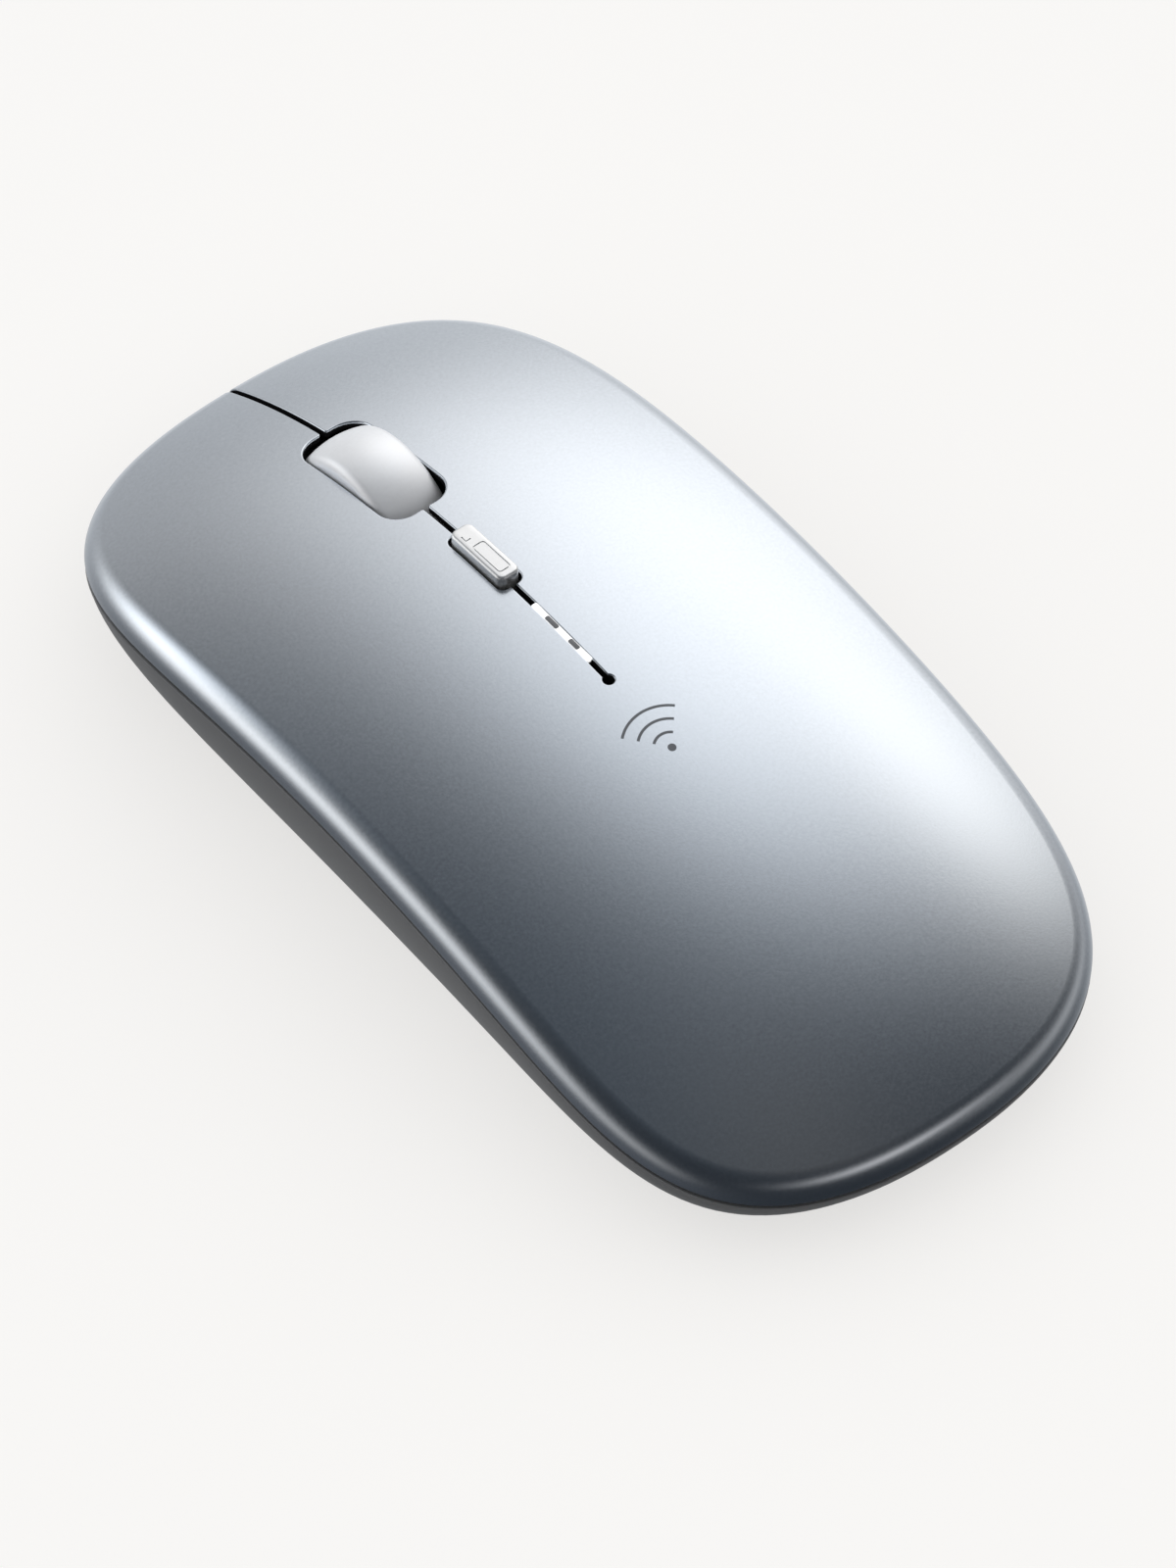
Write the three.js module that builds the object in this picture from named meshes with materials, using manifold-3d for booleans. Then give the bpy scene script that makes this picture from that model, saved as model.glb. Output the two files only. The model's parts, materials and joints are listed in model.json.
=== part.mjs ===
// A slim rechargeable wireless computer mouse, as an assembly of separate pieces.
// Millimetres, +Z up. The origin is on the desk, under the middle of the mouse.
// +Y points to the front, where the two keys are, and +X to the user's right.

import * as THREE from 'three';
import { mergeVertices } from 'three/addons/utils/BufferGeometryUtils.js';
import Module from 'manifold-3d';

const wasm = await Module();
wasm.setup();

// ---------------------------------------------------------------- driving dimensions

const HALF_WIDTH = 28.33;
const HALF_LENGTH = 56;
const FRONT_POWERS = { across: 2.685, along: 5.533 };
const REAR_POWERS = { across: 2.156, along: 6.216 };

// Height of the top surface on the centre line, as powers of y / HALF_LENGTH.
const SPINE = [23.942, 1.743, -10.461, -1.197, -3.682];
const CROSS_DROP = 4.655;
const CROSS_SCALE = 28;

const EDGE_RADIUS = 3.578;
const COVER_WALL = 1.5;
const RIM_STATIONS = 60;
const EDGE_STEPS = 3;
const CROWN_RINGS = [0.2, 0.44, 0.66, 0.85];
const INNER_RINGS = [0.34, 0.7];

const UNDERSIDE_Z = 0.75;
const WALL_FOOT_Z = 1.06;
const UNDERCUT = 4.82;
const UNDERCUT_POWER = 1.765;
const UNDERSIDE_INSET = 5.3;
const CASE_WALL = 1.6;
const FLOOR_Z = 2.35;
const PARTING_GAP = 0.35;
const LIP = { outer: 2.3, inner: 3.1, above: 0.6 };

const HINGE_Y = -3.95;
const KEY_TRAVEL = THREE.MathUtils.degToRad(0.4);
const SPLIT_GAP = 0.15;
const SEAM_HALF = 0.265;
const STOP_HOLE_R = 0.57;

const WHEEL = { y: 31, z: 13.8, r: 9.25, half: 3.58, tyreInner: 7.35, tread: 10, shoulder: 1.15 };
const TYRE_STEPS = { tread: 2, shoulder: 3 };
const WHEEL_SLOT = { half: 3.72, rear: 23.92, front: 39.95, corner: 2.5 };
const WHEEL_RELIEF = { half: 4.4, r: 9.75 };
const AXLE = { r: 1, half: 6.1, bore: 1.08 };
const PIVOT = { y: 43.5, z: 10.4, r: 0.9, bore: 0.98 };
const ARM = { inner: 4.4, outer: 5.6, bottom: 9.4, top: 11.8, rear: 19.2 };
const POST = { inner: 6.3, outer: 7.9, halfLength: 1.8, top: 12.2 };

const DPI_SLOT = { half: 1.45, rear: 10.4, front: 19.1, corner: 1 };
const DPI = { half: 1.25, rear: 10.75, front: 18.75, proud: 1.25, flangeBottom: 20.2, flangeTop: 21.1 };
const DPI_Y = (DPI_SLOT.rear + DPI_SLOT.front) / 2;
const DPI_PLUNGER_TOP = 19.7;

const WINDOWS = [[5.44, 7.37], [1.94, 3.71], [-1.21, 0.55]];
const TOOTH_HALF = 0.17;
const GUIDE = { half: 1.2, rear: -2, front: 8.2, bottom: 16.6, top: 21.2 };
const MASK = { half: 2.2, wall: 0.9, roofBottom: 21.3, roofTop: 21.85 };

const PCB = { bottom: 6.9, top: 8.1 };
const UPPER_PCB = { half: 7.5, rear: -8, front: 18.2, bottom: 14.4, top: 15.4 };
const FRAME_PLATE = { half: 11.5, rear: -9, front: 17.5, bottom: 12.9, top: UPPER_PCB.bottom };
const FRAME_LEG = { x: 10, half: 1.5, rearY: -7.5, frontY: 15.5 };
const FRAME_SCREW = { x: 15, y: 15, ear: 3 };

const SWITCH = { x: 15, halfWidth: 3, rear: 26, front: 38.8, height: 6.5, plungerY: 35.6 };
const KEY_PLUNGER = { halfX: 0.9, halfY: 1.4, bottom: 13.4, top: 15.3 };
const MIDDLE_SWITCH = { x: 8.6, y: 20.8, half: 2.3, top: 11.5 };
const MIDDLE_PLUNGER = { r: 1.2, bottom: 10.6, top: 12.3 };
const BEAM = { y: 26, z: 12.9, face: 6.9 };

const CASE_SCREWS = [[-15, -45], [15, -45], [-18, -9], [18, -9]];
const CASE_BOSS = { r: 3, top: 7, seat: 3.4 };
const COVER_BOSS = { r: 2.6, bottom: 7.1, pilot: 1.05 };
const SCREW = { headR: 1.9, headHeight: 1.2, shankR: 0.95, length: 7.4 };

const BAY = { half: 7.6, rear: -43, front: -19.5, top: 7.4, wall: 1.2 };
const RECEIVER = {
  rear: -42.7, capLength: 6.8, half: 7.2, bottom: 1, top: 7.1, plug: 12, plugHalf: 6, plugHeight: 4.5,
};
const PAD = { bottom: BAY.top + BAY.wall, top: 9.4 };
const BATTERY = { half: 11.5, rear: -38, front: -12, top: 14 };

const SOCKET = { z: 5.2, halfWidth: 4.47, halfHeight: 1.63, rear: 46.9, front: 54.1, wall: 0.3 };
const SENSOR_Y = 4;
const KNOB = { x: 14, rear: 0, length: 4, half: 1.3, travel: 2, bottom: 0.95 };
const FEET_INSET = { outer: 6.8, inner: 11.8 };
const FOOT_TOP = 1.1;
const LABEL = { half: 12, rear: 17.5, front: 37, bottom: 0.8, top: 1 };

// ---------------------------------------------------------------- materials

function finish(color, roughness, metalness = 0, opacity = 1) {
  const transparent = opacity < 1;
  return new THREE.MeshStandardMaterial({ color, roughness, metalness, opacity, transparent });
}

const SILVER_PAINT = finish(0xaab0b8, 0.38, 0.7);
const CASE_PAINT = finish(0x5d6267, 0.45, 0.5);
const DARK_PLASTIC = finish(0x2b2d30, 0.55);
const WHITE_PLASTIC = finish(0xd9dbde, 0.3);
const CLEAR_PLASTIC = finish(0xf4f8ff, 0.1, 0, 0.5);
const BLACK_PLASTIC = finish(0x141516, 0.5);
const GLIDE_PLASTIC = finish(0x1b1c1e, 0.4);
const BOARD = finish(0x1d5a36, 0.5);
const CHIP = finish(0x18191b, 0.45);
const STEEL = finish(0xb8bbbf, 0.3, 1);
const RUBBER = finish(0xc9ccd0, 0.45);
const LABEL_FILM = finish(0xc4c7cb, 0.5);
const FOIL = finish(0xb4b7ba, 0.35, 0.6);
const FOAM = finish(0x242527, 0.95);
const RED_WIRE = finish(0xb3201c, 0.45);
const AMBER = finish(0xc9862a, 0.5);
const LED_WHITE = finish(0xf6f3e4, 0.3);
const LED_RED = finish(0xb8322b, 0.2);

// ---------------------------------------------------------------- solids

// Turns a closed geometry into a solid, with its faces pointing out.
function solidFrom(geometry) {
  const bare = geometry.clone();
  bare.deleteAttribute('normal');
  bare.deleteAttribute('uv');
  const merged = mergeVertices(bare, 1e-4);
  const corners = merged.index.array;
  const kept = [];
  for (let i = 0; i < corners.length; i += 3) {
    const [a, b, c] = [corners[i], corners[i + 1], corners[i + 2]];
    if (a !== b && b !== c && c !== a) kept.push(a, b, c);
  }
  const vertProperties = new Float32Array(merged.attributes.position.array);
  const asSolid = (order) => (
    new wasm.Manifold(new wasm.Mesh({ numProp: 3, vertProperties, triVerts: new Uint32Array(order) }))
  );
  const solid = asSolid(kept);
  return solid.volume() > 0 ? solid : asSolid(kept.reverse());
}

function geometryFrom(solid) {
  const mesh = solid.getMesh();
  const geometry = new THREE.BufferGeometry();
  geometry.setAttribute('position', new THREE.BufferAttribute(new Float32Array(mesh.vertProperties), 3));
  geometry.setIndex(new THREE.BufferAttribute(new Uint32Array(mesh.triVerts), 1));
  geometry.computeVertexNormals();
  return geometry;
}

function joined(first, ...others) {
  return others.reduce((sum, solid) => sum.add(solid), first);
}

function less(first, ...cuts) {
  return cuts.reduce((rest, solid) => rest.subtract(solid), first);
}

function block([x0, x1], [y0, y1], [z0, z1]) {
  const geometry = new THREE.BoxGeometry(x1 - x0, y1 - y0, z1 - z0);
  geometry.translate((x0 + x1) / 2, (y0 + y1) / 2, (z0 + z1) / 2);
  return solidFrom(geometry);
}

function post(x, y, radius, [z0, z1], sides = 16) {
  const geometry = new THREE.CylinderGeometry(radius, radius, z1 - z0, sides);
  geometry.rotateX(Math.PI / 2);
  geometry.translate(x, y, (z0 + z1) / 2);
  return solidFrom(geometry);
}

function rodAlongX([x0, x1], y, z, radius, sides = 16) {
  const geometry = new THREE.CylinderGeometry(radius, radius, x1 - x0, sides);
  geometry.rotateZ(Math.PI / 2);
  geometry.translate((x0 + x1) / 2, y, z);
  return solidFrom(geometry);
}

function rodAlongY([y0, y1], x, z, radius, sides = 16) {
  const geometry = new THREE.CylinderGeometry(radius, radius, y1 - y0, sides);
  geometry.translate(x, (y0 + y1) / 2, z);
  return solidFrom(geometry);
}

function outlineShape(points) {
  return new THREE.Shape(points.map(([x, y]) => new THREE.Vector2(x, y)));
}

function roundedShape(halfX, halfY, corner) {
  const shape = new THREE.Shape();
  shape.absarc(halfX - corner, halfY - corner, corner, 0, Math.PI / 2);
  shape.absarc(corner - halfX, halfY - corner, corner, Math.PI / 2, Math.PI);
  shape.absarc(corner - halfX, corner - halfY, corner, Math.PI, 1.5 * Math.PI);
  shape.absarc(halfX - corner, corner - halfY, corner, 1.5 * Math.PI, 2 * Math.PI);
  return shape;
}

function prism(shape, [z0, z1], curveSegments = 4) {
  const depth = z1 - z0;
  const geometry = new THREE.ExtrudeGeometry(shape, { depth, bevelEnabled: false, curveSegments });
  geometry.translate(0, 0, z0);
  return solidFrom(geometry);
}

// A shape drawn in (y, z) and pushed along X.
function sideProfile(points, [x0, x1]) {
  const geometry = new THREE.ExtrudeGeometry(outlineShape(points), { depth: x1 - x0, bevelEnabled: false });
  geometry.rotateY(Math.PI / 2);
  geometry.rotateX(Math.PI / 2);
  geometry.translate(x0, 0, 0);
  return solidFrom(geometry);
}

// A ring of revolution about X, from a closed profile of (x, radius) points.
function ringAboutX(profile, sides) {
  const points = [...profile, profile[0]].map(([x, r]) => new THREE.Vector2(r, x));
  const geometry = new THREE.LatheGeometry(points, sides);
  geometry.rotateZ(-Math.PI / 2);
  return solidFrom(geometry);
}

function wire(points, radius, steps, sides = 8) {
  const shape = new THREE.Shape().absarc(0, 0, radius, 0, 2 * Math.PI);
  const extrudePath = new THREE.CatmullRomCurve3(points.map((p) => new THREE.Vector3(...p)));
  const options = { extrudePath, steps, curveSegments: sides, bevelEnabled: false };
  return solidFrom(new THREE.ExtrudeGeometry(shape, options));
}

// A closed skin over rings of equal length; a ring of one point closes an end.
function loft(rings) {
  const positions = [];
  const starts = rings.map((ring) => {
    const start = positions.length / 3;
    ring.forEach((point) => positions.push(...point));
    return start;
  });
  const index = [];
  for (let k = 0; k + 1 < rings.length; k++) {
    const count = Math.max(rings[k].length, rings[k + 1].length);
    const at = (ring, i) => starts[ring] + (rings[ring].length === 1 ? 0 : i % count);
    for (let i = 0; i < count; i++) {
      index.push(at(k, i), at(k + 1, i), at(k + 1, i + 1));
      index.push(at(k, i), at(k + 1, i + 1), at(k, i + 1));
    }
  }
  const geometry = new THREE.BufferGeometry();
  geometry.setAttribute('position', new THREE.Float32BufferAttribute(positions, 3));
  geometry.setIndex(index);
  return solidFrom(geometry);
}

// ---------------------------------------------------------------- outer surface

function crown(x, y) {
  const u = y / HALF_LENGTH;
  const spine = SPINE.reduceRight((sum, term) => sum * u + term, 0);
  return spine - CROSS_DROP * (x / CROSS_SCALE) ** 2;
}

function crownSlope(x, y) {
  const step = 0.01;
  const alongX = (crown(x + step, y) - crown(x - step, y)) / (2 * step);
  const alongY = (crown(x, y + step) - crown(x, y - step)) / (2 * step);
  return [alongX, alongY];
}

function crownPoint(x, y, depth) {
  const [slopeX, slopeY] = crownSlope(x, y);
  const length = Math.hypot(slopeX, slopeY, 1);
  return [x + (depth * slopeX) / length, y + (depth * slopeY) / length, crown(x, y) - depth / length];
}

// The plan outline is |x/a|^p + |y/b|^q = 1, rounder at the front than at the rear.
function outlineRadius(angle) {
  const powers = Math.sin(angle) >= 0 ? FRONT_POWERS : REAR_POWERS;
  const across = Math.abs(Math.cos(angle)) / HALF_WIDTH;
  const along = Math.abs(Math.sin(angle)) / HALF_LENGTH;
  let low = HALF_WIDTH / 2;
  let high = HALF_WIDTH + HALF_LENGTH;
  while (high - low > 1e-6) {
    const middle = (low + high) / 2;
    const inside = (middle * across) ** powers.across + (middle * along) ** powers.along < 1;
    if (inside) low = middle;
    else high = middle;
  }
  return low;
}

function outlinePoint(angle) {
  const radius = outlineRadius(angle);
  return [radius * Math.cos(angle), radius * Math.sin(angle)];
}

// Half of the outline as evenly spaced points, from one side of the mouse to the other.
function halfOutline(fromAngle, count) {
  const samples = 400;
  const points = Array.from(
    { length: samples + 1 },
    (_, i) => outlinePoint(fromAngle + (Math.PI * i) / samples),
  );
  const lengths = [0];
  for (let i = 1; i <= samples; i++) {
    const [dx, dy] = [points[i][0] - points[i - 1][0], points[i][1] - points[i - 1][1]];
    lengths.push(lengths[i - 1] + Math.hypot(dx, dy));
  }
  let segment = 1;
  return Array.from({ length: count }, (_, k) => {
    const wanted = (lengths[samples] * k) / count;
    while (lengths[segment] < wanted) segment++;
    const part = (wanted - lengths[segment - 1]) / (lengths[segment] - lengths[segment - 1]);
    return [0, 1].map((i) => points[segment - 1][i] * (1 - part) + points[segment][i] * part);
  });
}

// At each station round the rim: the point, its inward direction, the slope at
// which the edge round meets the crown, and the height of the cover's lower edge.
function rimStations() {
  const points = [...halfOutline(0, RIM_STATIONS / 2), ...halfOutline(Math.PI, RIM_STATIONS / 2)];
  return points.map(([x, y], i) => {
    const next = points[(i + 1) % points.length];
    const last = points[(i + points.length - 1) % points.length];
    const length = Math.hypot(next[0] - last[0], next[1] - last[1]);
    const inward = [-(next[1] - last[1]) / length, (next[0] - last[0]) / length];
    const [slopeX, slopeY] = crownSlope(x + inward[0] * EDGE_RADIUS / 2, y + inward[1] * EDGE_RADIUS / 2);
    const slope = Math.atan(slopeX * inward[0] + slopeY * inward[1]);
    const inset = EDGE_RADIUS * (1 - Math.sin(slope));
    const meet = [x + inward[0] * inset, y + inward[1] * inset];
    const edgeZ = crown(...meet) - EDGE_RADIUS * Math.cos(slope);
    return { x, y, inward, slope, meet, edgeZ };
  });
}

const STATIONS = rimStations();

function insetPoint(station, inset, z) {
  return [station.x + station.inward[0] * inset, station.y + station.inward[1] * inset, z];
}

function edgeRing(turn, depth) {
  return STATIONS.map((station) => {
    const angle = station.slope + (Math.PI / 2 - station.slope) * turn;
    const radius = EDGE_RADIUS - depth;
    const inset = EDGE_RADIUS - radius * Math.sin(angle);
    return insetPoint(station, inset, station.edgeZ + radius * Math.cos(angle));
  });
}

function crownRing(scale, depth) {
  return STATIONS.map(({ meet }) => crownPoint(meet[0] * scale, meet[1] * scale, depth));
}

// Rings from the top of the crown to the lower edge, at a depth under the outer surface.
function coverRings(depth, crownScales, edgeSteps) {
  const rings = [[crownPoint(0, 0, depth)]];
  crownScales.forEach((scale) => rings.push(crownRing(scale, depth)));
  for (let k = 0; k <= edgeSteps; k++) rings.push(edgeRing(k / edgeSteps, depth));
  return rings;
}

function wholeCover() {
  const outer = coverRings(0, CROWN_RINGS, EDGE_STEPS);
  const inner = coverRings(COVER_WALL, INNER_RINGS, EDGE_STEPS - 1);
  return loft([...outer, ...inner.reverse()]);
}

// Everything under a surface half a wall below the top, to trim ribs and bosses.
function underCover() {
  const rings = coverRings(COVER_WALL / 2, INNER_RINGS, 1);
  return loft([...rings, [[0, 0, 0]]]);
}

// ---------------------------------------------------------------- top cover and keys

const ROOM = 80;

function slotCutter({ half, rear, front, corner }) {
  const cutter = prism(roundedShape(half, (front - rear) / 2, corner), [0, ROOM]);
  return cutter.translate([0, (front + rear) / 2, 0]);
}

function coverOpenings() {
  const seam = block([-SEAM_HALF, SEAM_HALF], [HINGE_Y, ROOM], [0, ROOM]);
  const stopHole = post(0, HINGE_Y, STOP_HOLE_R, [0, ROOM]);
  return joined(seam, stopHole, slotCutter(WHEEL_SLOT), slotCutter(DPI_SLOT));
}

// The lower half of the wall is cut back round the wheel, so that the keys clear it when pressed.
function wheelRelief(trim) {
  const { half, r } = WHEEL_RELIEF;
  return rodAlongX([-half, half], WHEEL.y, WHEEL.z, r, 40).intersect(trim);
}

function palmCover(cover, trim) {
  const rearHalf = block([-ROOM, ROOM], [-ROOM, HINGE_Y - SPLIT_GAP], [0, ROOM]);
  const bosses = CASE_SCREWS.map(([x, y]) => (
    post(x, y, COVER_BOSS.r, [COVER_BOSS.bottom, ROOM]).intersect(trim)
  ));
  const pilots = CASE_SCREWS.map(([x, y]) => {
    const top = COVER_BOSS.bottom + SCREW.length - CASE_BOSS.top + CASE_BOSS.seat;
    return post(x, y, COVER_BOSS.pilot, [COVER_BOSS.bottom - 1, top], 12);
  });
  return less(joined(cover.intersect(rearHalf), ...bosses), ...pilots);
}

function key(cover, trim, side) {
  const spanX = side < 0 ? [-ROOM, 0] : [0, ROOM];
  const frontHalf = block(spanX, [HINGE_Y + SPLIT_GAP, ROOM], [0, ROOM]);
  const centre = side * SWITCH.x;
  const rib = block(
    [centre - 0.8, centre + 0.8],
    [SWITCH.plungerY - 2, SWITCH.plungerY + 2],
    [KEY_PLUNGER.top + 0.1, ROOM],
  );
  return joined(cover.intersect(frontHalf), rib.intersect(trim));
}

// ---------------------------------------------------------------- bottom case

function partingZ(station) {
  const keyDrop = Math.max(0, station.y - HINGE_Y) * Math.tan(KEY_TRAVEL);
  return station.edgeZ - PARTING_GAP - keyDrop;
}

function wallRing(share, extraInset, minimumInset = 0) {
  return STATIONS.map((station) => {
    const top = partingZ(station);
    const z = top + (WALL_FOOT_Z - top) * share;
    const fall = (station.edgeZ - z) / (station.edgeZ - WALL_FOOT_Z);
    const inset = UNDERCUT * fall ** UNDERCUT_POWER + extraInset;
    return insetPoint(station, Math.max(inset, minimumInset), z);
  });
}

function flatRing(inset, z) {
  return STATIONS.map((station) => insetPoint(station, inset, z));
}

function rimRing(inset, raised) {
  return STATIONS.map((station) => {
    const z = raised ? station.edgeZ + LIP.above : partingZ(station);
    return insetPoint(station, inset, z);
  });
}

function caseTub() {
  return loft([
    [[0, 0, UNDERSIDE_Z]],
    flatRing(UNDERSIDE_INSET, UNDERSIDE_Z),
    ...[1, 0.75, 0.5, 0.25, 0].map((share) => wallRing(share, 0)),
    rimRing(LIP.outer, false),
    rimRing(LIP.outer, true),
    rimRing(LIP.inner, true),
    ...[0.4, 0.75].map((share) => wallRing(share, CASE_WALL, LIP.inner)),
    flatRing(UNDERCUT + CASE_WALL + 0.4, FLOOR_Z),
    [[0, 0, FLOOR_Z]],
  ]);
}

// A glide band that follows the outline, between two insets, at one end of the case.
function glideBand(end, [z0, z1], margin) {
  const widest = 16.5 + margin;
  const near = STATIONS.filter(({ x, y }) => Math.abs(x) < widest && Math.sign(y) === end);
  near.sort((a, b) => b.x - a.x);
  const outer = near.map((station) => insetPoint(station, FEET_INSET.outer - margin, 0));
  const inner = near.map((station) => insetPoint(station, FEET_INSET.inner + margin, 0)).reverse();
  return prism(outlineShape([...outer, ...inner]), [z0, z1]);
}

function carrierPosts() {
  return [-1, 1].map((side) => {
    const spanX = side < 0 ? [-POST.outer, -POST.inner] : [POST.inner, POST.outer];
    return block(spanX, [PIVOT.y - POST.halfLength, PIVOT.y + POST.halfLength], [FLOOR_Z - 0.2, POST.top]);
  });
}

function bottomCase() {
  const sides = [-1, 1];
  const rooted = FLOOR_Z - 0.2;
  const bayBlock = block(
    [-BAY.half - BAY.wall, BAY.half + BAY.wall],
    [BAY.rear - BAY.wall, BAY.front + BAY.wall],
    [rooted, BAY.top + BAY.wall],
  );
  const added = [
    bayBlock,
    ...CASE_SCREWS.map(([x, y]) => post(x, y, CASE_BOSS.r, [rooted, CASE_BOSS.top])),
    ...sides.map((side) => post(side * FRAME_SCREW.x, FRAME_SCREW.y, 2.2, [rooted, PCB.bottom])),
    ...sides.map((side) => post(side * SWITCH.x, SWITCH.plungerY, 1.5, [rooted, PCB.bottom], 12)),
    ...carrierPosts(),
    post(0, ARM.rear + 0.9, 0.8, [rooted, 4], 12),
  ];
  const cuts = [
    block([-BAY.half, BAY.half], [BAY.rear, BAY.front], [0, BAY.top]),
    ...CASE_SCREWS.map(([x, y]) => post(x, y, SCREW.headR + 0.25, [0, CASE_BOSS.seat])),
    ...CASE_SCREWS.map(([x, y]) => post(x, y, SCREW.shankR + 0.2, [1, ROOM], 12)),
    ...sides.map((side) => post(side * FRAME_SCREW.x, FRAME_SCREW.y, 0.95, [3, ROOM], 12)),
    rodAlongX([-POST.outer - 1, POST.outer + 1], PIVOT.y, PIVOT.z, PIVOT.bore, 20),
    block([-4.6, 4.6], [SENSOR_Y - 4, SENSOR_Y + 4], [0, FLOOR_Z + 1]),
    block(
      [KNOB.x - KNOB.half - 0.3, KNOB.x + KNOB.half + 0.3],
      [KNOB.rear - 0.3, KNOB.rear + KNOB.length + KNOB.travel + 0.3],
      [0, FLOOR_Z + 1],
    ),
    glideBand(1, [0, FOOT_TOP], 0.15),
    glideBand(-1, [0, FOOT_TOP], 0.15),
    block([-LABEL.half - 0.2, LABEL.half + 0.2], [LABEL.rear - 0.2, LABEL.front + 0.2], [0, LABEL.top]),
    socketPrism(SOCKET.halfWidth + 0.3, SOCKET.halfHeight + 0.2, [48, ROOM]),
  ];
  return less(joined(caseTub(), ...added), ...cuts);
}

// ---------------------------------------------------------------- charge socket

function socketPrism(halfWidth, halfHeight, [y0, y1]) {
  const solid = prism(roundedShape(halfWidth, halfHeight, halfHeight * 0.96), [-y1, -y0]);
  return solid.rotate([90, 0, 0]).translate([0, 0, SOCKET.z]);
}

function chargeSocket() {
  const shell = socketPrism(SOCKET.halfWidth, SOCKET.halfHeight, [SOCKET.rear, SOCKET.front]);
  const mouth = socketPrism(
    SOCKET.halfWidth - SOCKET.wall,
    SOCKET.halfHeight - SOCKET.wall,
    [SOCKET.rear + 0.6, SOCKET.front + 1],
  );
  return less(shell, mouth);
}

// ---------------------------------------------------------------- boards and their parts

function mainBoard() {
  const outline = [
    [-14.5, -11], [14.5, -11], [14.5, -3], [19, 0], [19, 38],
    [12, 50], [-12, 50], [-19, 38], [-19, 0], [-14.5, -3],
  ];
  const span = [PCB.bottom - 1, PCB.top + 1];
  const notchLength = [PIVOT.y - POST.halfLength - 0.3, PIVOT.y + POST.halfLength + 0.3];
  const cuts = [
    block([-4.4, 4.4], [17.9, 40.2], span),
    block([-POST.outer - 0.3, 0.3 - POST.inner], notchLength, span),
    block([POST.inner - 0.3, POST.outer + 0.3], notchLength, span),
    post(0, SENSOR_Y, 2.6, span),
    ...[-1, 1].map((side) => post(side * FRAME_SCREW.x, FRAME_SCREW.y, 1.2, span, 12)),
  ];
  return less(prism(outlineShape(outline), [PCB.bottom, PCB.top]), ...cuts);
}

function sensorLens() {
  return joined(
    block([-7, 7], [SENSOR_Y - 5, SENSOR_Y + 5], [FLOOR_Z + 0.05, 3.4]),
    post(0, SENSOR_Y, 2.2, [3.3, PCB.top - 0.1]),
    block([-1.8, 1.8], [SENSOR_Y + 2, SENSOR_Y + 5], [3.3, 6.6]),
  );
}

function keySwitch(side) {
  const x = side * SWITCH.x;
  const body = block(
    [x - SWITCH.halfWidth, x + SWITCH.halfWidth],
    [SWITCH.rear, SWITCH.front],
    [PCB.top, PCB.top + SWITCH.height],
  );
  const waist = [
    block([x - 4, x - SWITCH.halfWidth + 0.25], [SWITCH.rear + 3, SWITCH.front - 3], [11, 12.2]),
    block([x + SWITCH.halfWidth - 0.25, x + 4], [SWITCH.rear + 3, SWITCH.front - 3], [11, 12.2]),
  ];
  const well = block(
    [x - KEY_PLUNGER.halfX - 0.15, x + KEY_PLUNGER.halfX + 0.15],
    [SWITCH.plungerY - KEY_PLUNGER.halfY - 0.15, SWITCH.plungerY + KEY_PLUNGER.halfY + 0.15],
    [KEY_PLUNGER.bottom - 0.5, ROOM],
  );
  return less(body, well, ...waist);
}

function keyPlunger(side) {
  const x = side * SWITCH.x;
  return block(
    [x - KEY_PLUNGER.halfX, x + KEY_PLUNGER.halfX],
    [SWITCH.plungerY - KEY_PLUNGER.halfY, SWITCH.plungerY + KEY_PLUNGER.halfY],
    [KEY_PLUNGER.bottom, KEY_PLUNGER.top],
  );
}

function middleSwitch() {
  const { x, y, half, top } = MIDDLE_SWITCH;
  const body = block([x - half, x + half], [y - half, y + half], [PCB.top, top]);
  return less(body, post(x, y, MIDDLE_PLUNGER.r + 0.15, [MIDDLE_PLUNGER.bottom - 0.7, ROOM]));
}

function infraredPart(side) {
  const outerFace = BEAM.face + 2.5;
  const spanX = side < 0 ? [-outerFace, -BEAM.face] : [BEAM.face, outerFace];
  const lensX = side < 0 ? [-BEAM.face - 0.2, 0.6 - BEAM.face] : [BEAM.face - 0.6, BEAM.face + 0.2];
  const body = block(spanX, [BEAM.y - 1.8, BEAM.y + 1.8], [PCB.top, BEAM.z + 1.9]);
  return joined(body, rodAlongX(lensX, BEAM.y, BEAM.z, 0.9, 12));
}

function dpiSwitch() {
  const body = block([-3, 3], [DPI_Y - 3, DPI_Y + 3], [UPPER_PCB.top, DPI_PLUNGER_TOP - 0.9]);
  return less(body, post(0, DPI_Y, 1.85, [DPI_PLUNGER_TOP - 2.5, ROOM]));
}

// The ribbon leaves the upper board, turns down behind the frame and lands on the main board.
function boardRibbon() {
  const thickness = 0.2;
  const bendY = FRAME_PLATE.rear - 0.35;
  const high = UPPER_PCB.top + 0.02;
  const low = PCB.top + 0.02;
  return sideProfile([
    [-6, high], [-6, high + thickness], [bendY - thickness, high + thickness],
    [bendY - thickness, low], [-6.5, low], [-6.5, low + thickness],
    [bendY, low + thickness], [bendY, high],
  ], [3, 8]);
}

// ---------------------------------------------------------------- frame, guide and mask

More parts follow.
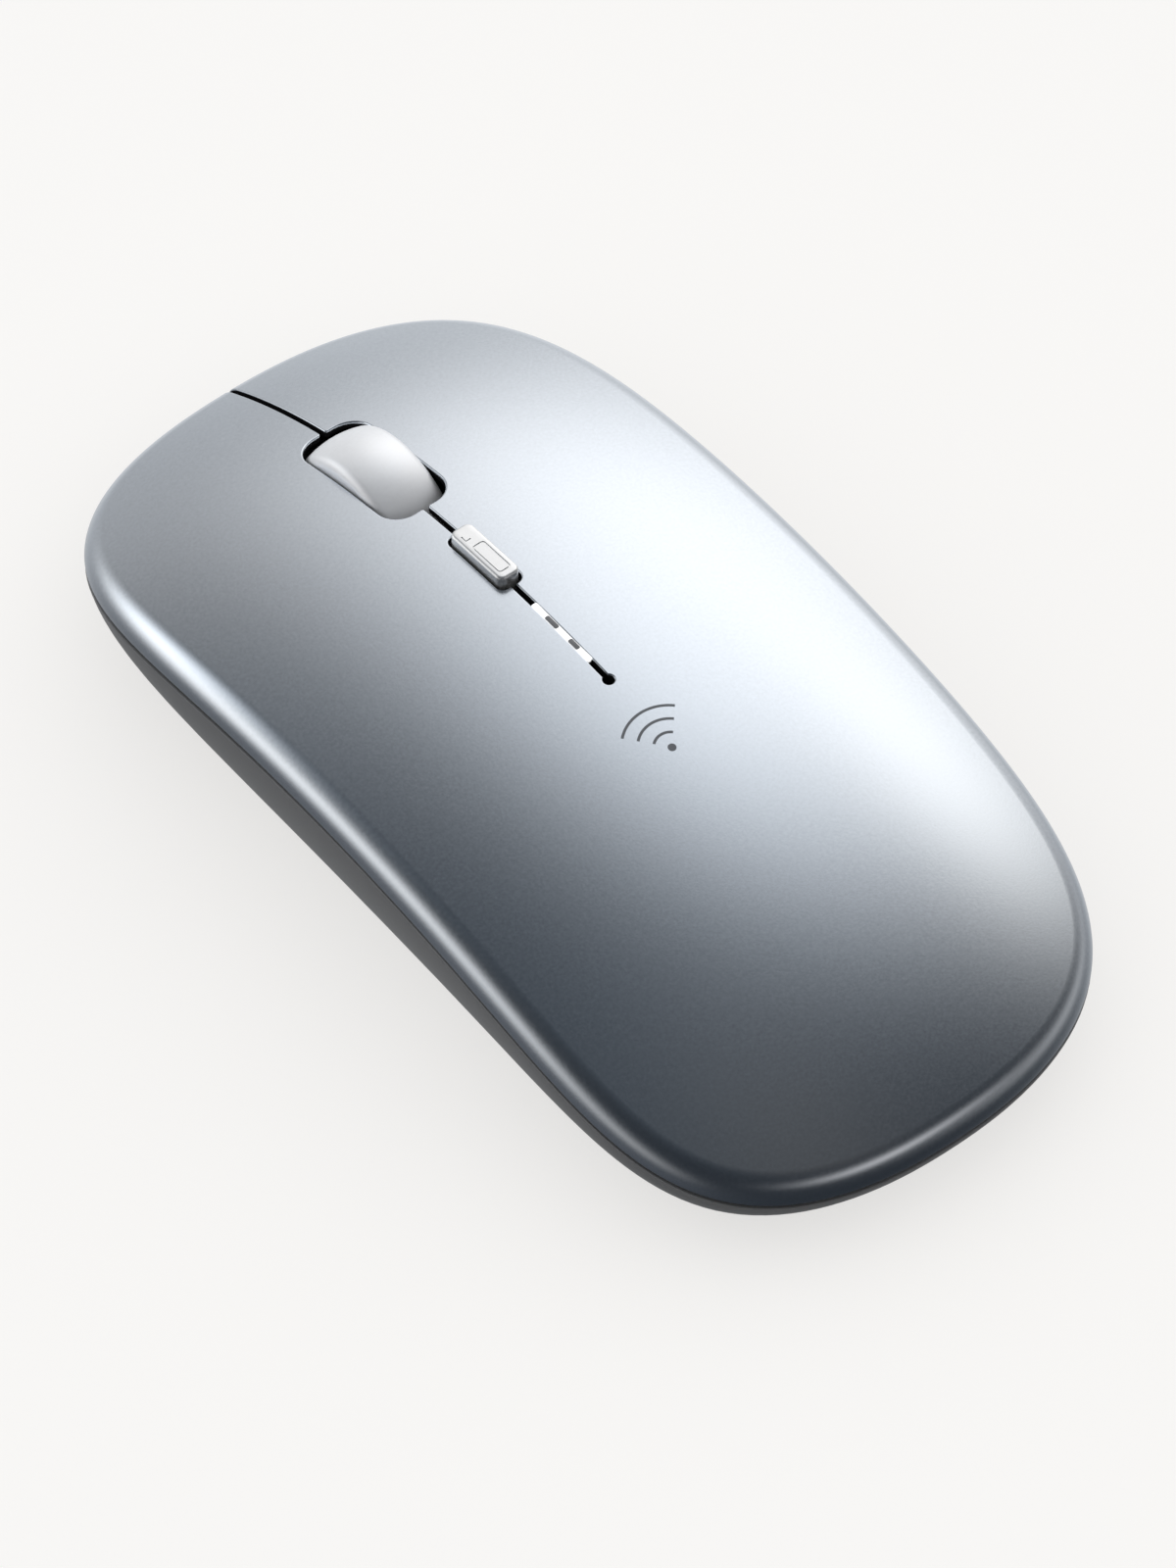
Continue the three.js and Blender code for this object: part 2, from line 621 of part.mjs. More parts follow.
function innerFrame() {
  const { half, rear, front, bottom, top } = FRAME_PLATE;
  const parts = [];
  for (const side of [-1, 1]) {
    const x = side * FRAME_LEG.x;
    const spanX = [x - FRAME_LEG.half, x + FRAME_LEG.half];
    for (const y of [FRAME_LEG.rearY, FRAME_LEG.frontY]) {
      parts.push(block(spanX, [y - FRAME_LEG.half, y + FRAME_LEG.half], [PCB.top, bottom + 0.2]));
    }
    const earX = side * FRAME_SCREW.x;
    const ear = block(
      side < 0 ? [earX - FRAME_SCREW.ear, -FRAME_LEG.x] : [FRAME_LEG.x, earX + FRAME_SCREW.ear],
      [FRAME_LEG.frontY - FRAME_SCREW.ear, FRAME_LEG.frontY + FRAME_LEG.half],
      [PCB.top, PCB.top + 1.4],
    );
    parts.push(less(ear, post(earX, FRAME_SCREW.y, 1.1, [0, ROOM], 12)));
  }
  return joined(block([-half, half], [rear, front], [bottom, top]), ...parts);
}

function lightGuide() {
  const body = block([-GUIDE.half, GUIDE.half], [GUIDE.rear, GUIDE.front], [GUIDE.bottom, GUIDE.top]);
  const teeth = WINDOWS.map(([rear, front]) => {
    const top = Math.min(crown(0, rear), crown(0, front)) - 0.05;
    return block([-TOOTH_HALF, TOOTH_HALF], [rear, front], [GUIDE.top - 0.2, top]);
  });
  return joined(body, ...teeth);
}

function lightMask() {
  const spanY = [GUIDE.rear - MASK.wall, GUIDE.front + MASK.wall];
  const shell = block([-MASK.half, MASK.half], spanY, [UPPER_PCB.top, MASK.roofTop]);
  const hollow = block(
    [-GUIDE.half - 0.1, GUIDE.half + 0.1],
    [GUIDE.rear - 0.1, GUIDE.front + 0.1],
    [0, MASK.roofBottom],
  );
  const gaps = WINDOWS.map(([rear, front]) => (
    block([-TOOTH_HALF - 0.1, TOOTH_HALF + 0.1], [rear - 0.1, front + 0.1], [0, ROOM])
  ));
  const dividers = [0, 1].map((k) => {
    const span = [WINDOWS[k + 1][1] + 0.12, WINDOWS[k][0] - 0.12];
    return block([-TOOTH_HALF, TOOTH_HALF], span, [MASK.roofTop - 0.2, crown(0, span[0]) - 0.3]);
  });
  return joined(less(shell, hollow, ...gaps), ...dividers);
}

// ---------------------------------------------------------------- wheel and carrier

// A crowned tread that runs into a rounded shoulder at each side.
function wheelTyre() {
  const { half, tyreInner, r, tread, shoulder } = WHEEL;
  const centre = half - shoulder;
  const meet = Math.asin(centre / (tread - shoulder));
  const height = r - tread + (tread - shoulder) * Math.cos(meet);
  const side = [];
  for (let k = 0; k < TYRE_STEPS.tread; k++) {
    const turn = meet * (k / TYRE_STEPS.tread);
    side.push([tread * Math.sin(turn), r - tread * (1 - Math.cos(turn))]);
  }
  for (let k = 0; k <= TYRE_STEPS.shoulder; k++) {
    const turn = meet + (Math.PI / 2 - meet) * (k / TYRE_STEPS.shoulder);
    side.push([centre + shoulder * Math.sin(turn), height + shoulder * Math.cos(turn)]);
  }
  side.push([half, tyreInner]);
  const mirrored = side.slice(1).map(([across, radius]) => [-across, radius]);
  return ringAboutX([...side.reverse(), ...mirrored], 40);
}

// A web with windows that chop the light beam, a boss on the axle and a rim under the tyre.
function wheelHub() {
  const rim = WHEEL.tyreInner - 0.05;
  const recess = rodAlongX([0.8, 9], 0, 0, rim - 0.6, 32);
  const windows = Array.from({ length: 8 }, (_, i) => (
    block([-2, 2], [-0.9, 0.9], [3.5, 6.1]).rotate([45 * i, 0, 0])
  ));
  const web = less(rodAlongX([-2.9, 2.9], 0, 0, rim, 40), recess, recess.mirror([1, 0, 0]), ...windows);
  const boss = rodAlongX([-3.9, 3.9], 0, 0, 2.5, 20);
  return less(joined(web, boss), rodAlongX([-9, 9], 0, 0, AXLE.r + 0.05, 20));
}

function wheelCarrier() {
  const parts = [
    block([-ARM.outer, ARM.outer], [ARM.rear, ARM.rear + 1.8], [ARM.bottom, ARM.top]),
    block([-ARM.outer, ARM.outer], [PIVOT.y - 1.2, PIVOT.y + 1.2], [ARM.bottom, PIVOT.z + 0.9]),
    block([ARM.inner, 9.8], [ARM.rear, ARM.rear + 3.2], [MIDDLE_PLUNGER.top + 0.1, 13.8]),
    block([ARM.inner, ARM.outer], [ARM.rear, ARM.rear + 3.2], [ARM.top - 0.2, 12.6]),
    block([-ARM.outer, -ARM.inner], [39.5, 41.5], [ARM.top - 0.2, 14.8]),
  ];
  for (const side of [-1, 1]) {
    const spanX = side < 0 ? [-ARM.outer, -ARM.inner] : [ARM.inner, ARM.outer];
    const pinX = side < 0 ? [-POST.outer + 0.3, 0.2 - ARM.outer] : [ARM.outer - 0.2, POST.outer - 0.3];
    parts.push(block(spanX, [ARM.rear, PIVOT.y + 1.5], [ARM.bottom, ARM.top]));
    parts.push(block(spanX, [WHEEL.y - 2.6, WHEEL.y + 2.6], [ARM.top - 0.2, WHEEL.z + 2]));
    parts.push(rodAlongX(pinX, PIVOT.y, PIVOT.z, PIVOT.r, 20));
  }
  return less(joined(...parts), rodAlongX([-9, 9], WHEEL.y, WHEEL.z, AXLE.bore, 24));
}

function carrierSpring() {
  const coil = { radius: 1.45, turns: 5, wire: 0.22, bottom: FLOOR_Z + 0.3, top: ARM.bottom - 0.3 };
  const perTurn = 12;
  const points = Array.from({ length: coil.turns * perTurn + 1 }, (_, i) => {
    const angle = (2 * Math.PI * i) / perTurn;
    const rise = i / (coil.turns * perTurn);
    return [
      coil.radius * Math.cos(angle),
      ARM.rear + 0.9 + coil.radius * Math.sin(angle),
      coil.bottom + (coil.top - coil.bottom) * rise,
    ];
  });
  return wire(points, coil.wire, coil.turns * perTurn, 3);
}

function detentSpring() {
  const leaf = block([0.05 - ARM.inner, 0.3 - ARM.inner], [36.9, 41.3], [13.2, 14.4]);
  const tip = block([0.1 - ARM.inner, -2.2], [36.9, 37.25], [13.2, 14.4]);
  return joined(leaf, tip);
}

// ---------------------------------------------------------------- button, knob and receiver

function dpiButton() {
  const steps = 4;
  const top = Array.from({ length: steps + 1 }, (_, i) => {
    const y = DPI.front + ((DPI.rear - DPI.front) * i) / steps;
    return [y, crown(0, y) + DPI.proud];
  });
  const outline = [[DPI.rear, DPI.flangeBottom], [DPI.front, DPI.flangeBottom], ...top];
  const cap = sideProfile(outline, [-DPI.half, DPI.half]);
  const plan = roundedShape(DPI.half, (DPI.front - DPI.rear) / 2, 0.8);
  const ends = prism(plan, [0, ROOM]).translate([0, DPI_Y, 0]);
  const flange = block([-2.3, 2.3], [DPI.rear - 0.75, DPI.front + 0.75], [DPI.flangeBottom, DPI.flangeTop]);
  const stem = post(0, DPI_Y, 1.5, [DPI_PLUNGER_TOP, DPI.flangeBottom + 0.2]);
  return joined(cap.intersect(ends), flange, stem);
}

function powerKnob() {
  const { x, rear, length, half, bottom } = KNOB;
  const grip = block([x - half, x + half], [rear, rear + length], [bottom, FLOOR_Z + 0.3]);
  const grooves = [0.8, 1.7, 2.6].map((step) => (
    block([x - 2, x + 2], [rear + step, rear + step + 0.5], [0, bottom + 0.35])
  ));
  const flange = block(
    [x - 2.3, x + 2.3],
    [rear - 1.6, rear + length + 1.6],
    [FLOOR_Z + 0.05, FLOOR_Z + 0.9],
  );
  const fork = block([x - 0.5, x + 0.5], [rear + 1.2, rear + 2.8], [FLOOR_Z + 0.8, 4.6]);
  return joined(less(grip, ...grooves), flange, fork);
}

function powerSwitch() {
  const body = block([KNOB.x - 2.2, KNOB.x + 2.2], [-1.3, 7.3], [3.9, PCB.bottom]);
  return less(body, block([KNOB.x - 0.8, KNOB.x + 0.8], [0.7, 5.3], [3, 5.1]));
}

function receiverCap() {
  const { half, rear, capLength, bottom, top } = RECEIVER;
  const body = prism(roundedShape(half, capLength / 2, 1.2), [bottom, top]);
  return body.translate([0, rear + capLength / 2, 0]);
}

function receiverShell() {
  const { rear, capLength, plug, plugHalf, plugHeight, bottom, top } = RECEIVER;
  const middle = (bottom + top) / 2;
  const y0 = rear + capLength + 0.05;
  const outer = block(
    [-plugHalf, plugHalf],
    [y0, y0 + plug],
    [middle - plugHeight / 2, middle + plugHeight / 2],
  );
  const inner = block(
    [0.3 - plugHalf, plugHalf - 0.3],
    [y0 + 0.5, y0 + plug + 1],
    [middle - plugHeight / 2 + 0.3, middle + plugHeight / 2 - 0.3],
  );
  return less(outer, inner);
}

function receiverTongue() {
  const { rear, capLength, plug, plugHalf, bottom, top } = RECEIVER;
  const middle = (bottom + top) / 2;
  const y0 = rear + capLength;
  const spanX = [0.4 - plugHalf, plugHalf - 0.4];
  return block(spanX, [y0 + 0.65, y0 + plug - 0.2], [middle - 1.85, middle - 0.1]);
}

// ---------------------------------------------------------------- fasteners and small parts

function caseScrew(x, y) {
  const seat = CASE_BOSS.seat;
  const head = post(x, y, SCREW.headR, [seat - SCREW.headHeight, seat]);
  const cross = [
    block([x - 1.1, x + 1.1], [y - 0.22, y + 0.22], [0, seat - SCREW.headHeight + 0.6]),
    block([x - 0.22, x + 0.22], [y - 1.1, y + 1.1], [0, seat - SCREW.headHeight + 0.6]),
  ];
  return less(joined(head, post(x, y, SCREW.shankR, [seat - 0.2, seat + SCREW.length], 12)), ...cross);
}

function frameScrew(side) {
  const [x, y] = [side * FRAME_SCREW.x, FRAME_SCREW.y];
  const seat = PCB.top + 1.4;
  const head = post(x, y, 1.7, [seat, seat + 1.1]);
  return joined(head, post(x, y, 0.85, [4, seat + 0.2], 12));
}

function batteryLead(level) {
  const z = BATTERY.top - 1.4 - 1.3 * level;
  return wire([
    [8.2, -11.55, z], [6, -11, z - 0.5], [2, -10.9, z - 1], [-1, -10.4, z - 1.6], [-2.9, -9.2, z - 2.1],
  ], 0.5, 12, 4);
}

// ---------------------------------------------------------------- assembly

const mouse = new THREE.Group();

function add(name, solid, material, parent = mouse) {
  const mesh = new THREE.Mesh(geometryFrom(solid), material);
  mesh.name = name;
  parent.add(mesh);
  return mesh;
}

function addShells() {
  const trim = underCover();
  const cover = less(wholeCover(), coverOpenings(), wheelRelief(trim));
  add('palm_cover', palmCover(cover, trim), SILVER_PAINT);
  add('left_key', key(cover, trim, -1), SILVER_PAINT);
  add('right_key', key(cover, trim, 1), SILVER_PAINT);
  add('bottom_case', bottomCase(), CASE_PAINT);
  add('front_foot', glideBand(1, [0, FOOT_TOP], 0), GLIDE_PLASTIC);
  add('rear_foot', glideBand(-1, [0, FOOT_TOP], 0), GLIDE_PLASTIC);
  add('underside_label', block(
    [-LABEL.half, LABEL.half], [LABEL.rear, LABEL.front], [LABEL.bottom, LABEL.top],
  ), LABEL_FILM);
}

function addBoards() {
  const top = PCB.top;
  add('main_pcb', mainBoard(), BOARD);
  add('sensor_chip', block([-4.6, 4.6], [SENSOR_Y - 4.2, SENSOR_Y + 4.2], [top, top + 2.2]), CHIP);
  add('sensor_lens', sensorLens(), CLEAR_PLASTIC);
  add('tracking_led', rodAlongY([SENSOR_Y + 5, SENSOR_Y + 10], 0, top + 1.6, 1.5, 12), LED_RED);
  add('mcu_chip', block([11.5, 17.5], [-0.5, 5.5], [top, top + 1]), CHIP);
  add('clock_crystal', block([12, 15.2], [7.6, 10.1], [top, top + 0.9]), STEEL);
  add('charge_controller', block([-16, -11], [-1, 3], [top, top + 1.4]), CHIP);
  add('buffer_capacitor', post(-15, 8, 2.4, [top, top + 5]), BLACK_PLASTIC);
  add('battery_connector', block([-8.2, -3.2], [-10.6, -7.2], [top, top + 3.4]), WHITE_PLASTIC);
  for (const [name, side] of [['left', -1], ['right', 1]]) {
    add(`${name}_switch`, keySwitch(side), BLACK_PLASTIC);
    add(`${name}_plunger`, keyPlunger(side), WHITE_PLASTIC);
  }
  add('middle_switch', middleSwitch(), BLACK_PLASTIC);
  add('middle_plunger', post(
    MIDDLE_SWITCH.x, MIDDLE_SWITCH.y, MIDDLE_PLUNGER.r, [MIDDLE_PLUNGER.bottom, MIDDLE_PLUNGER.top],
  ), AMBER);
  add('ir_emitter', infraredPart(-1), CLEAR_PLASTIC);
  add('ir_detector', infraredPart(1), CHIP);
  add('charge_socket', chargeSocket(), STEEL);
  add('charge_socket_tongue', block(
    [-3.3, 3.3], [SOCKET.rear + 0.75, SOCKET.front - 0.6], [SOCKET.z - 0.35, SOCKET.z + 0.35],
  ), BLACK_PLASTIC);
  add('power_switch', powerSwitch(), STEEL);
  add('power_knob', powerKnob(), DARK_PLASTIC);
}

function addUpperBoard() {
  const { half, rear, front, bottom, top } = UPPER_PCB;
  add('inner_frame', innerFrame(), DARK_PLASTIC);
  add('upper_pcb', block([-half, half], [rear, front], [bottom, top]), BOARD);
  add('dpi_switch', dpiSwitch(), BLACK_PLASTIC);
  add('dpi_plunger', post(0, DPI_Y, 1.7, [DPI_PLUNGER_TOP - 1.9, DPI_PLUNGER_TOP]), AMBER);
  add('dpi_button', dpiButton(), WHITE_PLASTIC);
  WINDOWS.forEach(([from, to], i) => {
    const y = (from + to) / 2;
    add(`status_led_${i + 1}`, block([-0.5, 0.5], [y - 0.8, y + 0.8], [top, top + 0.8]), LED_WHITE);
  });
  add('light_guide', lightGuide(), CLEAR_PLASTIC);
  add('light_mask', lightMask(), DARK_PLASTIC);
  add('board_ribbon', boardRibbon(), AMBER);
}

function addWheel() {
  const wheel = new THREE.Group();
  wheel.position.set(0, WHEEL.y, WHEEL.z);
  mouse.add(wheel);
  add('wheel_tyre', wheelTyre(), RUBBER, wheel);
  add('wheel_hub', wheelHub(), WHITE_PLASTIC, wheel);
  add('wheel_axle', rodAlongX([-AXLE.half, AXLE.half], 0, 0, AXLE.r, 20), STEEL, wheel);
  add('wheel_carrier', wheelCarrier(), DARK_PLASTIC);
  add('carrier_spring', carrierSpring(), STEEL);
  add('detent_spring', detentSpring(), STEEL);
}

function addPower() {
  const { half, rear, front, top } = BATTERY;
  add('battery_pad', block([1 - half, half - 1], [rear + 1, front - 7.5], [PAD.bottom, PAD.top]), FOAM);
  add('battery_cell', prism(roundedShape(half, (front - rear) / 2, 1), [PAD.top, top])
    .translate([0, (front + rear) / 2, 0]), FOIL);
  add('battery_lead_red', batteryLead(0), RED_WIRE);
  add('battery_lead_black', batteryLead(1), BLACK_PLASTIC);
  add('receiver_cap', receiverCap(), BLACK_PLASTIC);
  add('receiver_shell', receiverShell(), STEEL);
  add('receiver_tongue', receiverTongue(), BLACK_PLASTIC);
}

function addScrews() {
  CASE_SCREWS.forEach(([x, y], i) => add(`case_screw_${i + 1}`, caseScrew(x, y), STEEL));
  [-1, 1].forEach((side, i) => add(`frame_screw_${i + 1}`, frameScrew(side), STEEL));
}

addShells();
addBoards();
addUpperBoard();
addWheel();
addPower();
addScrews();

export default mouse;
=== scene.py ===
"""A slim silver wireless mouse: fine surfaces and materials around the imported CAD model.

Lengths in this script are millimetres and become metres when a mesh is made.
"""
import json
import math

import bmesh
import bpy
import numpy as np
from mathutils import Matrix, Vector
from mathutils.geometry import delaunay_2d_cdt


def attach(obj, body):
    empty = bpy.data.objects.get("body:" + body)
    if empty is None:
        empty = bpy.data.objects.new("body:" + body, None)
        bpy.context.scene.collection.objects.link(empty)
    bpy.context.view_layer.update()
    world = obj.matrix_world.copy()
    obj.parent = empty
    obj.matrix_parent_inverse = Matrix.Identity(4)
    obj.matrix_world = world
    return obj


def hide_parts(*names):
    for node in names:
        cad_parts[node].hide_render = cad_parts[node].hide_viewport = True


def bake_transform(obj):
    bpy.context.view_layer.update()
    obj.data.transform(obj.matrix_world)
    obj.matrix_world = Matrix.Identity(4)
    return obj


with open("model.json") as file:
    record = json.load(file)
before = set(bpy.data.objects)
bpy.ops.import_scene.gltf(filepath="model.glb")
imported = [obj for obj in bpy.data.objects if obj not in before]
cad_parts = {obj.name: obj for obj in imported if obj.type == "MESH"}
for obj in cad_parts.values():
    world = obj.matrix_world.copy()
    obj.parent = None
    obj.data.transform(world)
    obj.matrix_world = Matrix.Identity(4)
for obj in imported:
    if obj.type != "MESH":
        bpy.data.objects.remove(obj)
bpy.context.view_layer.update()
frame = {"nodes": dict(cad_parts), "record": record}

MM = 0.001
SHARP = math.radians(35)
# Looks of a cover's faces: silver paint, and near-black for the inner skin, the rim's underside and the
# walls of openings, where the black is painted shade in the gaps.
PAINTED, BARE_AND_SHADE = 0, 1

# ---- shape of the outer surface

HALF_WIDTH = 28.33
HALF_LENGTH = 56.0
FRONT_POWERS = (2.685, 5.533)
REAR_POWERS = (2.156, 6.216)
SPINE = (23.942, 1.743, -10.461, -1.197, -3.682)
CROSS_DROP = 4.655
CROSS_SCALE = 28.0
EDGE_RADIUS = 3.578
COVER_WALL = 1.5
LOWER_CORNER = 0.25
EDGE_STEPS = 12
CORNER_STEPS = 3

HINGE_Y = -3.95
SEAM_HALF = 0.265
STOP_HOLE = 0.57
SLOT_ROUND = 0.16
WHEEL_LIP = 0.2
WHEEL_WALL = 0.8
WHEEL_SLOT = {"half": 3.72, "rear": 23.92, "front": 39.95, "corner": 2.5, "seam_corner": 0.3}
BUTTON_SLOT = {"half": 1.45, "rear": 10.4, "front": 19.1, "corner": 0.9, "seam_corner": 0.12}
# Where the cover is thinner round the wheel: |x| and y at each edge, and how far it takes to change.
THIN_SIDE, THIN_FRONT, THIN_REAR = (14, 8), (46, 5), (5, 8)
WINDOWS = ((5.44, 7.37), (1.94, 3.71), (-1.21, 0.55))

UNDERSIDE_Z = 0.75
UNDERSIDE_INSET = 5.3
WALL_FOOT_Z = 1.06
UNDERCUT = 4.82
UNDERCUT_POWER = 1.765
CASE_WALL = 1.6
FLOOR_Z = 2.35
PARTING_GAP = 0.35
KEY_TRAVEL = math.radians(0.4)
LIP_OUTER, LIP_INNER, LIP_ABOVE = 2.3, 3.1, 0.6


def crown(x, y):
    u = np.asarray(y, float) / HALF_LENGTH
    spine = sum(term * u ** power for power, term in enumerate(SPINE))
    return spine - CROSS_DROP * (np.asarray(x, float) / CROSS_SCALE) ** 2


def crown_slope(x, y):
    u = np.asarray(y, float) / HALF_LENGTH
    along = sum(power * term * u ** (power - 1) for power, term in enumerate(SPINE) if power)
    return -2 * CROSS_DROP * np.asarray(x, float) / CROSS_SCALE ** 2, along / HALF_LENGTH


def crown_normal(x, y):
    slope_x, slope_y = crown_slope(x, y)
    normal = np.stack([-slope_x, -slope_y, np.ones_like(slope_x * slope_y)], -1)
    return normal / np.linalg.norm(normal, axis=-1, keepdims=True)


def crown_point(x, y):
    x, y = np.broadcast_arrays(np.asarray(x, float), np.asarray(y, float))
    return np.stack([x, y, crown(x, y)], -1)


def outline_powers(front):
    return [np.where(front, *powers) for powers in zip(FRONT_POWERS, REAR_POWERS)]


def outline_gradient(x, y):
    across, along = outline_powers(y >= 0)
    gx = across * (np.abs(x) / HALF_WIDTH) ** (across - 1) / HALF_WIDTH * np.sign(x)
    gy = along * (np.abs(y) / HALF_LENGTH) ** (along - 1) / HALF_LENGTH * np.sign(y)
    return gx, gy


def outline_points(angles):
    """Points of |x/a|^p + |y/b|^q = 1 in the given directions."""
    cosine, sine = np.cos(angles), np.sin(angles)
    across, along = outline_powers(sine >= 0)
    low = np.full_like(angles, HALF_WIDTH / 2)
    high = np.full_like(angles, HALF_WIDTH + HALF_LENGTH)
    for _ in range(50):
        middle = (low + high) / 2
        inside = (
            (np.abs(middle * cosine) / HALF_WIDTH) ** across
            + (np.abs(middle * sine) / HALF_LENGTH) ** along
        ) < 1
        low = np.where(inside, middle, low)
        high = np.where(inside, high, middle)
    return low * cosine, low * sine


def even_angles(start, end, count):
    """Angles between two directions that give evenly spaced points along the outline."""
    angles = np.linspace(start, end, 3000)
    x, y = outline_points(angles)
    travelled = np.concatenate([[0], np.cumsum(np.hypot(np.diff(x), np.diff(y)))])
    return np.interp(np.linspace(0, travelled[-1], count), travelled, angles)


def rim(angles):
    """For each direction: rim point, inward direction, the crown's slope where the edge round starts
    and the height of the round's centre."""
    x, y = outline_points(angles)
    gradient = np.stack(outline_gradient(x, y), -1)
    stations = {"x": x, "y": y, "inward": -gradient / np.linalg.norm(gradient, axis=1, keepdims=True)}
    slope = np.full_like(x, 0.2)
    for _ in range(12):
        start = inset_points(stations, EDGE_RADIUS * (1 - np.sin(slope)), 0)[:, :2]
        slope = np.arctan((np.stack(crown_slope(*start.T), -1) * stations["inward"]).sum(1))
    start = inset_points(stations, EDGE_RADIUS * (1 - np.sin(slope)), 0)[:, :2]
    return stations | {"slope": slope, "edge_z": crown(*start.T) - EDGE_RADIUS * np.cos(slope)}


def inset_points(stations, inset, z):
    x = stations["x"] + stations["inward"][:, 0] * inset
    y = stations["y"] + stations["inward"][:, 1] * inset
    return np.stack([x, y, np.broadcast_to(z, x.shape)], -1)


def edge_rows(angles):
    """The edge round, outer and inner, as rows of points from the crown to the lower edge."""
    stations = rim(angles)
    outer, inner = [], []
    last = math.radians(90) - math.asin(LOWER_CORNER / EDGE_RADIUS)
    for step in range(EDGE_STEPS + 1):
        turn = step / EDGE_STEPS
        phi = stations["slope"] + (last - stations["slope"]) * turn
        for rows, radius in ((outer, EDGE_RADIUS), (inner, EDGE_RADIUS - COVER_WALL)):
            inset = EDGE_RADIUS - radius * np.sin(phi)
            rows.append(inset_points(stations, inset, stations["edge_z"] + radius * np.cos(phi)))
    start = EDGE_RADIUS * (1 - math.sin(last))
    for step in range(1, CORNER_STEPS + 1):
        angle = math.pi / 2 * step / CORNER_STEPS
        height = LOWER_CORNER * (1 - math.sin(angle))
        outer_inset = start + LOWER_CORNER * (1 - math.cos(angle))
        outer.append(inset_points(stations, outer_inset, stations["edge_z"] + height))
        inner.append(inset_points(stations, COVER_WALL, stations["edge_z"] + height))
    return np.array(outer), np.array(inner)


def unit(vectors):
    return vectors / np.maximum(np.linalg.norm(vectors, axis=-1, keepdims=True), 1e-12)


def edge_normals(angles):
    """Normals of the outer edge rows, from the slopes along and across them."""
    (rows, _), (ahead, _), (behind, _) = (edge_rows(angles + step) for step in (0, 1e-4, -1e-4))
    stations = rim(angles)
    inward, phi = stations["inward"], stations["slope"]
    downward = np.gradient(rows, axis=0)
    downward[0] = -np.column_stack([inward * np.cos(phi)[:, None], np.sin(phi)])
    normals = unit(np.cross(downward, ahead - behind))
    outward = np.column_stack([-inward, np.ones_like(phi)])
    facing_in = np.einsum("ijk,jk->ij", normals, outward)[:-CORNER_STEPS] < 0
    if facing_in.mean() > 0.5:
        normals = -normals
    normals[-1] = [0, 0, -1]
    return normals


# ---- mesh building

class Shell:
    """Faces with a normal at each corner and a look. Equal points are welded."""

    def __init__(self):
        self.points = []
        self.found = {}
        self.faces = []
        self.normals = []
        self.looks = []

    def weld(self, point):
        key = tuple(round(float(value), 4) + 0.0 for value in point)
        if key not in self.found:
            self.found[key] = len(self.points)
            self.points.append(tuple(float(value) for value in point))
        return self.found[key]

    def face(self, points, normals, look=PAINTED):
        ring, kept = [], []
        for point, normal in zip(points, normals):
            index = self.weld(point)
            if index not in ring:
                ring.append(index)
                kept.append(normal)
        if len(ring) < 3:
            return
        corners = np.array([self.points[index] for index in ring])
        area = np.cross(corners, np.roll(corners, -1, 0)).sum(0)
        if area @ np.sum(kept, 0) < 0:
            ring.reverse()
            kept.reverse()
        self.faces.append(ring)
        self.looks.append(look)
        self.normals.extend(tuple(unit(np.asarray(normal, float))) for normal in kept)

    def grid(self, points, normals, look=PAINTED):
        rows, columns = points.shape[:2]
        for i in range(rows - 1):
            for j in range(columns - 1):
                corners = ([i, i + 1, i + 1, i], [j, j, j + 1, j + 1])
                self.face(points[corners], normals[corners], look)

    def flat(self, points, normal):
        self.face(points, [normal] * len(points))

    def build(self, name):
        mesh = bpy.data.meshes.new(name)
        mesh.from_pydata((np.array(self.points) * MM).tolist(), [], self.faces)
        mesh.polygons.foreach_set("use_smooth", [True] * len(mesh.polygons))
        mesh.polygons.foreach_set("material_index", self.looks)
        mesh.normals_split_custom_set(self.normals)
        return add_object(name, mesh)


def add_object(name, data):
    made = bpy.data.objects.new(name, data)
    bpy.context.scene.collection.objects.link(made)
    return made


def faced_piece(name, points, faces):
    """A closed piece from points and faces. The faces are turned outward."""
    mesh = bpy.data.meshes.new(name)
    mesh.from_pydata((points * MM).tolist(), [], faces)
    rework = bmesh.new()
    rework.from_mesh(mesh)
    bmesh.ops.recalc_face_normals(rework, faces=rework.faces)
    rework.to_mesh(mesh)
    rework.free()
    return add_object(name, mesh)


def neighbours(count, closed):
    return [(i, (i + 1) % count) for i in range(count if closed else count - 1)]


def lattice(rows, columns, rows_closed, columns_closed):
    """Faces of four between neighbouring rows and columns of points."""
    return [
        [i * columns + j, i * columns + k, n * columns + k, n * columns + j]
        for i, n in neighbours(rows, rows_closed)
        for j, k in neighbours(columns, columns_closed)
    ]


def solid(name, rings, ring_shaped=False):
    """A closed piece from rings of equally many points: flat at both ends, or joined end to end."""
    count, last = len(rings[0]), len(rings) - 1
    faces = lattice(len(rings), count, ring_shaped, True)
    if not ring_shaped:
        faces += [[row * count + j for j in range(count)] for row in (0, last)]
    piece = faced_piece(name, np.vstack(rings), faces)
    shade_by_angle(piece)
    return piece


